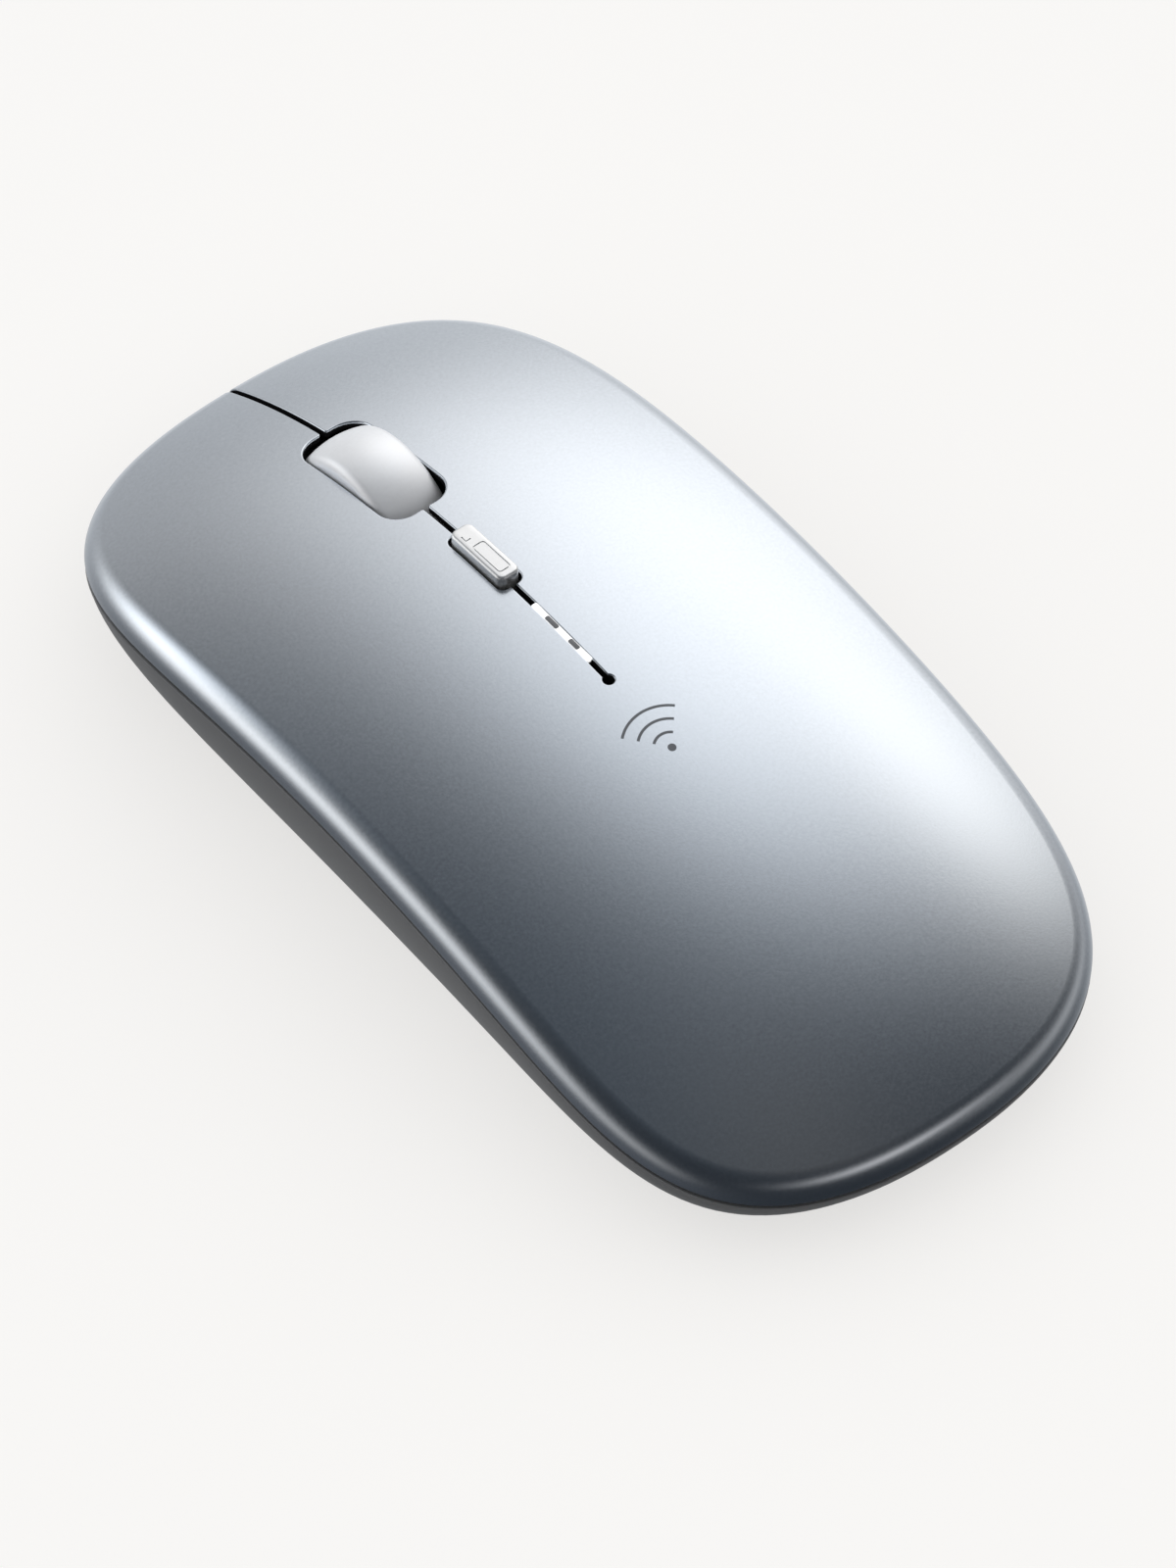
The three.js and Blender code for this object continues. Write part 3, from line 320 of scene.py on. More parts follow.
def rounded_path(corners, closed=True, steps=6):
    """A 2-D path through corners given as (x, y, radius), with round corners."""
    count = len(corners)
    path = []
    for i, (x, y, radius) in enumerate(corners):
        here = np.array([x, y], float)
        if radius <= 0 or (not closed and i in (0, count - 1)):
            path.append(here)
            continue
        before = np.array(corners[i - 1][:2], float)
        after = np.array(corners[(i + 1) % count][:2], float)
        a, b = unit(before - here), unit(after - here)
        half = math.acos(float(np.clip(a @ b, -1, 1))) / 2
        reach = radius / math.tan(half)
        centre = here + unit(a + b) * radius / math.sin(half)
        first, last = here + a * reach - centre, here + b * reach - centre
        turn = math.atan2(first[0] * last[1] - first[1] * last[0], float(first @ last))
        for step in range(steps + 1):
            angle = turn * step / steps
            cosine, sine = math.cos(angle), math.sin(angle)
            path.append(centre + np.array([
                first[0] * cosine - first[1] * sine,
                first[0] * sine + first[1] * cosine,
            ]))
    return np.array(path)


def path_normals(path, closed=True):
    """Unit directions to the right of the path's travel."""
    if closed:
        ahead, behind = np.roll(path, -1, 0) - path, path - np.roll(path, 1, 0)
        travel = unit(unit(ahead) + unit(behind))
    else:
        segments = unit(np.diff(path, axis=0))
        travel = np.vstack([segments[:1], unit(segments[1:] + segments[:-1]), segments[-1:]])
    return np.stack([travel[:, 1], -travel[:, 0]], -1)


def rounded_rectangle(centre_x, centre_y, half_x, half_y, corner, steps=6):
    corners = [
        (centre_x + x * half_x, centre_y + y * half_y, corner)
        for x, y in ((-1, -1), (1, -1), (1, 1), (-1, 1))
    ]
    return rounded_path(corners, steps=steps)


def rectangle_between(span_x, span_y, corner, steps=6):
    middle = [(low + high) / 2 for low, high in (span_x, span_y)]
    half = [(high - low) / 2 for low, high in (span_x, span_y)]
    return rounded_rectangle(*middle, *half, corner, steps)


def centred(half):
    """The span of a part that is centred on the mouse."""
    return -half, half


def arc(centre_x, centre_y, radius, angles):
    return np.stack([centre_x + radius * np.cos(angles), centre_y + radius * np.sin(angles)], -1)


def circle(centre_x, centre_y, radius, count=40):
    return arc(centre_x, centre_y, radius, np.linspace(0, 2 * math.pi, count, endpoint=False))


def draped(path, surface, lift=0.0):
    """A 2-D path laid on surface(x, y), raised by lift."""
    return np.column_stack([path, surface(path[:, 0], path[:, 1]) + lift])


def round_rows(low, high, bottom=0.0, top=0.0, steps=3):
    """(offset, z) rows of a plate whose lower and upper edges are rounded by the given radii."""
    rows = []
    for step in range(steps + 1 if bottom else 1):
        angle = math.pi / 2 * step / steps
        rows.append((-bottom * (1 - math.sin(angle)), low + bottom * (1 - math.cos(angle))))
    for step in range(steps + 1 if top else 1):
        angle = math.pi / 2 * step / steps
        rows.append((-top * (1 - math.cos(angle)), high - top * (1 - math.sin(angle))))
    return rows


def prism(name, path, rows):
    """A solid whose outline is path, moved out by each row's offset at that row's height."""
    outward = path_normals(path)
    rings = [np.column_stack([path + outward * offset, np.full(len(path), z)]) for offset, z in rows]
    return solid(name, rings)


def spun(name, profile, count, axis, centre, ring_shaped=False):
    """A solid of revolution about X or Z, from (along, radius) points."""
    angles = np.linspace(0, 2 * math.pi, count, endpoint=False)
    cosine, sine = np.cos(angles), np.sin(angles)
    rings = []
    for along, radius in profile:
        run = np.full(count, float(along))
        around = (radius * cosine, radius * sine)
        columns = (run, *around) if axis == "X" else (*around, run)
        rings.append(np.column_stack(columns) + np.array(centre, float))
    return solid(name, rings, ring_shaped)


def groove(name, path, width, surface, lifts, closed=True):
    """A thin bar along a 2-D path, between two lifts over a surface."""
    side = path_normals(path, closed) * width / 2
    low, high = lifts
    edges = ((-side, low), (-side, high), (side, high), (side, low))
    corners = [draped(path + edge, surface, lift) for edge, lift in edges]
    count = len(path)
    faces = lattice(len(corners), count, True, closed)
    if not closed:
        faces += [[k * count + end for k in range(len(corners))] for end in (0, count - 1)]
    return faced_piece(name, np.vstack(corners), faces)


def combine(target, others, operation):
    """Boolean of target with each other piece, which is then removed."""
    for other in others:
        modifier = target.modifiers.new("boolean", "BOOLEAN")
        modifier.object = other
        modifier.operation = operation
        modifier.solver = "EXACT"
    bpy.context.view_layer.update()
    evaluated = target.evaluated_get(bpy.context.evaluated_depsgraph_get())
    mesh = bpy.data.meshes.new_from_object(evaluated)
    target.modifiers.clear()
    target.data = mesh
    mesh.name = target.name
    for other in others:
        bpy.data.objects.remove(other)
    shade_by_angle(target)
    return target


def shade_by_angle(piece):
    mesh = piece.data
    mesh.polygons.foreach_set("use_smooth", [True] * len(mesh.polygons))
    mesh.set_sharp_from_angle(angle=SHARP)


# ---- materials

GRAIN_RANGE = (0.3, 0.7)
BUMP_DEPTH = 0.0002


def noise_output(tree, scale, detail):
    nodes = tree.nodes
    noise = nodes.new("ShaderNodeTexNoise")
    noise.inputs["Scale"].default_value = scale
    noise.inputs["Detail"].default_value = detail
    tree.links.new(nodes.new("ShaderNodeTexCoord").outputs["Object"], noise.inputs["Vector"])
    return noise.outputs["Fac"]


def tint_output(tree, fac, color, mottle):
    """The colour, a little darker and lighter with the noise."""
    tint = tree.nodes.new("ShaderNodeValToRGB")
    for stop, position, change in zip(tint.color_ramp.elements, GRAIN_RANGE, (1 - mottle, 1 + mottle)):
        stop.position = position
        stop.color = [*(min(1, value * change) for value in color), 1]
    tree.links.new(fac, tint.inputs["Fac"])
    return tint.outputs["Color"]


def roughness_output(tree, fac, roughness, spread):
    remap = tree.nodes.new("ShaderNodeMapRange")
    low, high = max(0.02, roughness - spread), min(1.0, roughness + spread)
    for socket, value in zip(("From Min", "From Max", "To Min", "To Max"), (*GRAIN_RANGE, low, high)):
        remap.inputs[socket].default_value = value
    tree.links.new(fac, remap.inputs["Value"])
    return remap.outputs["Result"]


def bump_output(tree, scale, strength):
    lift = tree.nodes.new("ShaderNodeBump")
    lift.inputs["Strength"].default_value = strength
    lift.inputs["Distance"].default_value = BUMP_DEPTH
    tree.links.new(noise_output(tree, scale, 2.0), lift.inputs["Height"])
    return lift.outputs["Normal"]


def material(name, color, roughness, metallic=0.0, grain=2500.0, mottle=0.05, rough_spread=0.05,
             bump=0.02, bump_scale=None, coat=0.0, specular=0.5, transmission=0.0, emission=None,
             ior=1.5):
    """A procedural surface: fine grain in colour and roughness, and a bump of its own scale."""
    made = bpy.data.materials.new(name)
    made.use_nodes = True
    tree = made.node_tree
    shader = tree.nodes["Principled BSDF"]
    fac = noise_output(tree, grain, 3.0)
    linked = {
        "Base Color": tint_output(tree, fac, color, mottle),
        "Roughness": roughness_output(tree, fac, roughness, rough_spread),
        "Normal": bump_output(tree, bump_scale or grain * 1.7, bump),
    }
    for socket, output in linked.items():
        tree.links.new(output, shader.inputs[socket])
    constants = {
        "Metallic": metallic, "IOR": ior, "Specular IOR Level": specular, "Coat Weight": coat,
        "Coat Roughness": 0.1, "Transmission Weight": transmission,
    }
    if emission:
        constants |= {"Emission Color": [*emission[0], 1], "Emission Strength": emission[1]}
    for socket, value in constants.items():
        shader.inputs[socket].default_value = value
    return made


def dress(piece, *looks):
    if piece.data.materials:
        piece.data.materials.clear()
    for look in looks:
        piece.data.materials.append(look)


LOOKS = {
    "silver_paint": material(
        "silver_paint", (0.60, 0.64, 0.69), 0.22, metallic=1.0, grain=3200, mottle=0.035,
        rough_spread=0.02, bump=0.02, bump_scale=5200,
    ),
    "case_paint": material(
        "case_paint", (0.215, 0.217, 0.222), 0.45, metallic=0.6, grain=3000, mottle=0.05,
        rough_spread=0.04, bump=0.03, bump_scale=4200,
    ),
    "wheel_gloss": material(
        "wheel_pearl", (0.94, 0.955, 0.98), 0.5, metallic=0.7, grain=2400, mottle=0.015,
        rough_spread=0.03, bump=0.01,
    ),
    "white_plastic": material(
        "white_pearl", (0.82, 0.825, 0.83), 0.33, metallic=0.88, grain=2400, mottle=0.02, bump=0.015,
    ),
    "dark_plastic": material(
        "dark_plastic", (0.035, 0.037, 0.04), 0.5, grain=2600, mottle=0.12, bump=0.06,
    ),
    "black_plastic": material(
        "black_plastic", (0.018, 0.018, 0.02), 0.45, grain=2600, mottle=0.15, bump=0.05,
    ),
    "glide_plastic": material(
        "glide_plastic", (0.02, 0.02, 0.022), 0.32, grain=1500, mottle=0.1, bump=0.02,
    ),
    "clear_plastic": material(
        "clear_plastic", (0.93, 0.96, 1.0), 0.08, grain=900, mottle=0.01, rough_spread=0.02,
        bump=0.004, transmission=0.9, ior=1.49,
    ),
    "board": material("board", (0.012, 0.10, 0.045), 0.35, grain=700, mottle=0.25, bump=0.1, coat=0.3),
    "chip": material("chip", (0.02, 0.02, 0.022), 0.42, grain=4000, mottle=0.2, bump=0.08),
    "steel": material(
        "steel", (0.58, 0.585, 0.60), 0.28, metallic=1.0, grain=2800, mottle=0.05, bump=0.04,
    ),
    "label_film": material(
        "label_film", (0.46, 0.47, 0.49), 0.42, metallic=0.3, grain=1400, mottle=0.03, bump=0.01,
    ),
    "foil": material("foil", (0.56, 0.57, 0.59), 0.3, metallic=0.8, grain=500, mottle=0.08, bump=0.15),
    "foam": material("foam", (0.03, 0.03, 0.033), 0.95, grain=1600, mottle=0.4, bump=0.5),
    "red_wire": material("red_wire", (0.45, 0.015, 0.012), 0.35, grain=1500, mottle=0.05),
    "black_wire": material("black_wire", (0.015, 0.015, 0.016), 0.35, grain=1500, mottle=0.05),
    "amber": material("amber", (0.50, 0.20, 0.035), 0.4, grain=1600, mottle=0.08),
    "led_white": material("led_white", (0.95, 0.93, 0.86), 0.3, grain=1600, mottle=0.03),
    "led_red": material("led_red", (0.45, 0.02, 0.02), 0.12, grain=1200, mottle=0.04, transmission=0.5),
}
# Near-black, hardly glossy plastic inside the cover; on the walls of the seams and slots it is darker
# than the plastic itself, as painted shade in the gaps.
INSIDE_AND_SHADE = material(
    "bare_plastic_and_painted_shade", (0.008, 0.008, 0.009), 0.9, grain=2600, mottle=0.15, bump=0.04, specular=0.05,
)
GLOW = material(
    "lit_window", (0.95, 0.96, 1.0), 0.35, grain=1200, mottle=0.01, bump=0.004,
    emission=((1.0, 1.0, 1.0), 0.6),
)
GREY = material("grey_plastic", (0.16, 0.165, 0.175), 0.45, grain=2600, mottle=0.05)
PRINT = material("grey_print", (0.115, 0.125, 0.14), 0.5, grain=2600, mottle=0.08, bump=0.02)

for subpart in frame["record"]["subparts"]:
    dress(frame["nodes"][subpart["node"]], LOOKS[subpart["material_slot"]])


def finish_piece(piece, body, slot, *nodes, looks=()):
    """Dress a piece, put it on its body and hide the nodes it stands in for."""
    dress(piece, *(looks or [LOOKS[slot]]))
    if body:
        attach(piece, body)
    if nodes:
        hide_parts(*nodes)
    return piece


# ---- top cover and keys

PAINTED_ROWS = 4
KEY_STATIONS, PALM_STATIONS, SPLIT_STATIONS = 130, 230, 36


def subdivide(path, step):
    points = [path[0]]
    for a, b in zip(path, path[1:]):
        count = max(1, math.ceil(np.linalg.norm(b - a) / step - 1e-6))
        points.extend(a + (b - a) * k / count for k in range(1, count + 1))
    return np.array(points)


def opening_profile(front_y):
    """The left wall of the seam, wheel slot, button slot and stop hole, from front to hinge.

    Given as distance from the centre line and y."""
    corners = [(SEAM_HALF, front_y, 0)]
    for slot in (WHEEL_SLOT, BUTTON_SLOT):
        half, front, rear = slot["half"], slot["front"], slot["rear"]
        corners += [
            (SEAM_HALF, front, slot["seam_corner"]), (half, front, slot["corner"]),
            (half, rear, slot["corner"]), (SEAM_HALF, rear, slot["seam_corner"]),
        ]
    corners.append((SEAM_HALF, HINGE_Y + math.sqrt(STOP_HOLE ** 2 - SEAM_HALF ** 2), 0))
    wall = rounded_path(corners, closed=False, steps=8)
    start = math.asin(SEAM_HALF / STOP_HOLE)
    turns = np.linspace(start, math.pi / 2, 8)[1:]
    hole = np.stack([STOP_HOLE * np.sin(turns), HINGE_Y + STOP_HOLE * np.cos(turns)], -1)
    return subdivide(np.vstack([wall, hole]), 0.7)


def ease(value):
    value = np.clip(value, 0, 1)
    return value * value * (3 - 2 * value)


def lip_widths(wall):
    """How wide the rounded lip is along an opening: wider round the wheel."""
    beside_wheel = ease((np.abs(wall[:, 0]) - SEAM_HALF) / 1.5) * (wall[:, 1] > WHEEL_SLOT["rear"] - 0.1)
    return (SLOT_ROUND + (WHEEL_LIP - SLOT_ROUND) * beside_wheel)[:, None]


def cover_inside(x, y):
    """The cover's inner surface. Round the wheel it is straight under the outer one and thinner."""
    normals = crown_normal(x, y)
    near = (
        ease((THIN_SIDE[0] - np.abs(x)) / THIN_SIDE[1])
        * ease((THIN_FRONT[0] - y) / THIN_FRONT[1])
        * ease((y - THIN_REAR[0]) / THIN_REAR[1])
    )[:, None]
    upright_drop = np.column_stack([np.zeros((len(normals), 2)), WHEEL_WALL / normals[:, 2]])
    return crown_point(x, y) - normals * COVER_WALL * (1 - near) - upright_drop * near


def fill_points(boundary, spacing):
    low, high = boundary.min(0), boundary.max(0)
    rows = np.arange(low[1], high[1], spacing * 0.866)
    columns = np.arange(low[0], high[0], spacing)
    points = [(x + (i % 2) * spacing / 2, y) for i, y in enumerate(rows) for x in columns]
    return np.array(points)


def far_from(points, boundary, distance):
    gap = np.min(np.linalg.norm(points[:, None] - boundary[None], axis=2), axis=1)
    return points[gap > distance]


def triangulate(boundary, slot_points, slot_inward, spacing=1.5):
    """Triangles over the region, with points close together beside the openings."""
    inner = far_from(fill_points(boundary, spacing), boundary, spacing * 0.55)
    beside = []
    for offset in (0.35, 0.85):
        near = far_from(slot_points - slot_inward * offset, boundary, offset * 0.8)
        beside.append(near)
        inner = far_from(inner, near, 0.45) if len(near) else inner
    points = np.vstack([boundary, *beside, inner])
    count = len(boundary)
    edges = [(i, (i + 1) % count) for i in range(count)]
    result = delaunay_2d_cdt([Vector(point) for point in points], edges, [], 1, 1e-5)
    return np.array([tuple(vertex) for vertex in result[0]]), result[2]


def skin_points(plan):
    x, y = plan[:, 0], plan[:, 1]
    return crown_point(x, y), crown_normal(x, y), cover_inside(x, y)


def add_slot(shell, points, normals, inward, inner_points, lip=SLOT_ROUND):
    """The rounded lip of an opening and its wall, from outer boundary points to inner ones. The lip is
    silver paint; the wall is near-black, painted shade in the gap.
    """
    sideways = np.column_stack([inward, np.zeros(len(inward))])
    rows, row_normals = [], []
    for angle in np.linspace(0, math.pi / 2, PAINTED_ROWS):
        drop = lip * (1 - math.cos(angle))
        rows.append(points + sideways * lip * math.sin(angle) - normals * drop)
        row_normals.append(normals * math.cos(angle) + sideways * math.sin(angle))
    wall_foot = inner_points + sideways * lip
    shell.grid(np.array(rows), np.array(row_normals))
    shell.grid(np.array([rows[-1], wall_foot]), np.array([row_normals[-1], sideways]), BARE_AND_SHADE)
    shell.grid(np.array([wall_foot, inner_points]), np.array([-normals, -normals]), BARE_AND_SHADE)
    return np.array([*rows, wall_foot, inner_points])


def add_skins(shell, boundary, slot_points, slot_inward, lip=SLOT_ROUND):
    """The crown's outer and inner skins over a region, and the slot along its opening."""
    plan, triangles = triangulate(boundary, slot_points, slot_inward)
    outer, normals, inner = skin_points(plan)
    for triangle in triangles:
        corners = list(triangle)
        shell.face(outer[corners], normals[corners])
        shell.face(inner[corners], -normals[corners], BARE_AND_SHADE)
    outer, normals, inner = skin_points(slot_points)
    return add_slot(shell, outer, normals, slot_inward, inner, lip)


def add_edge_strip(shell, angles):
    outer, inner = edge_rows(angles)
    normals = edge_normals(angles)
    shell.grid(outer, normals)
    shell.grid(inner, -normals, BARE_AND_SHADE)
    shell.grid(np.array([outer[-1], inner[-1]]), np.tile([0.0, 0.0, -1.0], (2, len(angles), 1)), BARE_AND_SHADE)
    return outer, inner, normals


def add_split(shell, side, column, normal, split, edge, slot_rows):
    """The flat end of a cover piece at the split, from the stop hole to the outline."""
    cap = crown_point(split[:, 0] * side, split[:, 1])
    inner_cap = cap - crown_normal(cap[:, 0], cap[:, 1]) * COVER_WALL
    shell.grid(np.array([cap, inner_cap]), np.tile(normal, (2, len(split), 1)))
    outer, inner = (rows[:, column] for rows in edge)
    for k in range(len(outer) - 1):
        shell.flat([outer[k], outer[k + 1], inner[k + 1], inner[k]], normal)
    shell.flat(slot_rows[:, column], normal)


def split_points(meet_x):
    """Points along the split on the right, from the stop hole to where the edge round starts."""
    xs = np.linspace(STOP_HOLE + SLOT_ROUND, abs(meet_x), SPLIT_STATIONS)
    return np.stack([xs, np.full_like(xs, HINGE_Y)], -1)


def key_angles(side):
    """Outline directions of a key's edge, from the seam to the split."""
    split_angle = math.atan2(HINGE_Y, -HALF_WIDTH) + 2 * math.pi
    for _ in range(20):
        x, y = outline_points(np.array([split_angle]))
        split_angle += (y[0] - HINGE_Y) / abs(x[0])
    front_angle = math.pi / 2 + math.atan2(SEAM_HALF + SLOT_ROUND, HALF_LENGTH)
    angles = even_angles(front_angle, split_angle, KEY_STATIONS)
    return angles if side < 0 else math.pi - angles


def key_opening(side, front):
    """The key's boundary along the seam and slots, the directions into them, and the lip's widths."""
    wall = opening_profile(float(front[1]))
    inward = path_normals(wall, closed=False)
    inward[0] = inward[1] = inward[-1] = [-1, 0]
    lip = lip_widths(wall)
    profile = wall - inward * lip
    profile[-1] = [STOP_HOLE + SLOT_ROUND, HINGE_Y]
    profile = profile * [side, 1]
    profile[0] = front
    return profile, inward * [side, 1], lip


def key_skin(side):
    """One key: side is -1 for the left key and 1 for the right key."""
    shell = Shell()
    outer, inner, normals = add_edge_strip(shell, key_angles(side))
    meet = outer[0, :, :2]
    profile, inward, lip = key_opening(side, meet[0])
    split = split_points(meet[-1, 0])
    boundary = np.vstack([profile, (split * [side, 1])[1:-1], meet[::-1][:-1]])
    rows = add_skins(shell, boundary, profile, inward, lip)
    sideways = np.tile([-side, 0.0], (len(outer), 1))
    end_rows = add_slot(shell, outer[:, 0], normals[:, 0], sideways, inner[:, 0])
    shell.flat(end_rows[:, -1], (0, 0, -1))
    add_split(shell, side, -1, (0.0, -1.0, 0.0), split, (outer, inner), rows)
    return shell


def palm_skin():
    """The palm cover: the rear of the outline and half of the stop hole."""
    left_angle = key_angles(-1)[-1]
    shell = Shell()
    angles = even_angles(left_angle, 3 * math.pi - left_angle, PALM_STATIONS)
    outer, inner, _ = add_edge_strip(shell, angles)
    meet = outer[0, :, :2]
    turns = np.linspace(math.pi, 2 * math.pi, 15)
    inward = -np.stack([np.cos(turns), np.sin(turns)], -1)
    profile = np.array([0, HINGE_Y]) - inward * (STOP_HOLE + SLOT_ROUND)
    profile[0, 1] = profile[-1, 1] = HINGE_Y
    split = split_points(meet[0, 0])
    left, right = split[::-1] * [-1, 1], split.copy()
    left[0], right[-1] = meet[0], meet[-1]
    boundary = np.vstack([left[:-1], profile, right[1:], meet[::-1][1:-1]])
    rows = add_skins(shell, boundary, profile, inward)
    for side, column in ((-1, 0), (1, -1)):
        add_split(shell, side, column, (0.0, 1.0, 0.0), split, (outer, inner), rows)
    return shell


def add_covers():
    # The second look is bare plastic inside and near-black painted shade on the walls of the openings.
    looks = (LOOKS["silver_paint"], INSIDE_AND_SHADE)
    for side, body in ((-1, "left_key"), (1, "right_key")):
        key = key_skin(side).build(f"{body}_skin")
        finish_piece(key, None, "silver_paint", body, looks=looks)
        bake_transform(key)
    palm = palm_skin().build("palm_cover_skin")
    finish_piece(palm, "shell", "silver_paint", "palm_cover", looks=looks)


# ---- bottom case

CASE_STATIONS = 240
CASE_ROUND = 0.2
ROOTED_Z = FLOOR_Z - 0.2
CASE_SCREWS = ((-15, -45), (15, -45), (-18, -9), (18, -9))
CASE_BOSS = {"radius": 3.0, "top": 7.0}
SCREW = {"head": 1.9, "seat": 3.4, "head_height": 1.2, "shank": 0.95, "top": 10.8}
BAY = {"half": 7.6, "rear": -43.0, "front": -19.5, "top": 7.4, "wall": 1.2}
SENSOR_Y = 4.0
SENSOR_HALF = (4.6, 4.0)
KNOB = {"x": 14.0, "rear": 0.0, "length": 4.0, "half": 1.3, "travel": 2.0, "bottom": 0.95}
LABEL = {"half": 12.0, "rear": 17.5, "front": 37.0, "bottom": 0.8, "top": 1.0}
FOOT = {"inset": 9.3, "half": 2.5, "reach": 14.2, "top": 1.1}
SOCKET = {
    "z": 5.2, "half_width": 4.47, "half_height": 1.63, "rear": 46.9, "front": 54.1, "wall": 0.3,
}
PCB_BOTTOM, PCB_TOP = 6.9, 8.1
FRAME_SCREW = (15.0, 15.0)
KEY_SWITCH = (15.0, 35.6)
PIVOT = {"y": 43.5, "z": 10.4, "bore": 0.98}
POST = {"inner": 6.3, "outer": 7.9, "half_length": 1.8, "top": 12.2}


def parting_z(stations):
    forward = np.maximum(0, stations["y"] - HINGE_Y)
    return stations["edge_z"] - PARTING_GAP - forward * math.tan(KEY_TRAVEL)


def case_wall(stations, share, extra=0.0, least=0.0):
    top = parting_z(stations)
    z = top + (WALL_FOOT_Z - top) * share
    fall = (stations["edge_z"] - z) / (stations["edge_z"] - WALL_FOOT_Z)
    inset = UNDERCUT * fall ** UNDERCUT_POWER + extra
    return inset_points(stations, np.maximum(inset, least), z)


def case_rings(stations):
    """Rows of the case from the middle of its underside, up the wall, to its inner floor."""
    top = parting_z(stations)
    lip_top = stations["edge_z"] + LIP_ABOVE
    underside = [
        (UNDERSIDE_INSET + 0.4, UNDERSIDE_Z),
        (UNDERSIDE_INSET, UNDERSIDE_Z + 0.03),
        ((UNDERSIDE_INSET + UNDERCUT) / 2, UNDERSIDE_Z + 0.11),
    ]
    rim_and_lip = [
        (0.04, top - CASE_ROUND), (0.1, top - CASE_ROUND * 0.3), (0.1 + CASE_ROUND, top),
        (LIP_OUTER, top), (LIP_OUTER, lip_top), (LIP_INNER, lip_top),
    ]
    return [
        *(inset_points(stations, *place) for place in underside),
        *(case_wall(stations, share) for share in np.linspace(1, 0.03, 12)),
        *(inset_points(stations, *place) for place in rim_and_lip),
        *(case_wall(stations, share, CASE_WALL, LIP_INNER) for share in (0.25, 0.4, 0.55, 0.75)),
        inset_points(stations, UNDERCUT + CASE_WALL + 0.4, FLOOR_Z),
    ]


def plate(name, path, low, high):
    return prism(name, path, [(0, low), (0, high)])


def upright(name, x, y, radius, low, high, count=32):
    return plate(name, circle(x, y, radius, count), low, high)


def box_between(name, span_x, span_y, span_z, corner=0.3):
    return plate(name, rectangle_between(span_x, span_y, corner, 3), *span_z)


def chamfered_hole(name, path, top, chamfer=0.3):
    """A cutter for a hole in the underside, wider at its mouth."""
    low = UNDERSIDE_Z
    return prism(name, path, [(chamfer * 2, low - chamfer), (0, low + chamfer), (0, top)])


def foot_path(end, margin=0.0):
    """A band along the outline near one end of the mouse, with round ends."""
    middle = math.pi / 2 * end
    angles = even_angles(middle - 0.45, middle + 0.45, 90)
    stations = rim(angles)
    near = np.abs(stations["x"]) < FOOT["reach"]
    centre = inset_points(stations, FOOT["inset"], 0)[near][:, :2]
    inward = stations["inward"][near]
    half = FOOT["half"] + margin

    def cap(at, start):
        return arc(*at, half, math.atan2(start[1], start[0]) + np.linspace(0, math.pi, 12)[1:-1])

    outer = centre - inward * half
    inner = centre + inward * half
    last = cap(centre[-1], -inward[-1])
    first = cap(centre[0], inward[0])
    return np.vstack([outer, last, inner[::-1], first])


def socket_path(wider=0.0, higher=0.0):
    """The socket's section in X and Z, made larger or smaller by the given amounts."""
    half_width, half_height = SOCKET["half_width"] + wider, SOCKET["half_height"] + higher
    return rounded_rectangle(0, SOCKET["z"], half_width, half_height, half_height * 0.96, 10)


def along_y(name, path, rows):
    """A solid along Y from a section in X and Z, moved out by each row's offset at that row's y."""
    outward = path_normals(path)
    rings = []
    for offset, y in rows:
        section = path + outward * offset
        rings.append(np.column_stack([section[:, 0], np.full(len(section), y), section[:, 1]]))
    return solid(name, rings)


def case_posts():
    """What stands on the case's floor: bay walls, screw bosses, posts and the spring's pin."""
    wall = BAY["wall"]
    span_y = (BAY["rear"] - wall, BAY["front"] + wall)
    span_z = (ROOTED_Z, BAY["top"] + wall)
    posts = [box_between("bay_walls", centred(BAY["half"] + wall), span_y, span_z, 0.8)]
    for x, y in CASE_SCREWS:
        posts.append(upright("boss", x, y, CASE_BOSS["radius"], ROOTED_Z, CASE_BOSS["top"]))
    span_y = (PIVOT["y"] - POST["half_length"], PIVOT["y"] + POST["half_length"])
    for side in (-1, 1):
        for (x, y), radius in ((FRAME_SCREW, 2.2), (KEY_SWITCH, 1.5)):
            posts.append(upright("post", side * x, y, radius, ROOTED_Z, PCB_BOTTOM))
        span_x = sorted((side * POST["inner"], side * POST["outer"]))
        posts.append(box_between("carrier_post", span_x, span_y, (ROOTED_Z, POST["top"])))
    posts.append(upright("spring_pin", 0, 20.1, 0.8, ROOTED_Z, 4))
    return posts


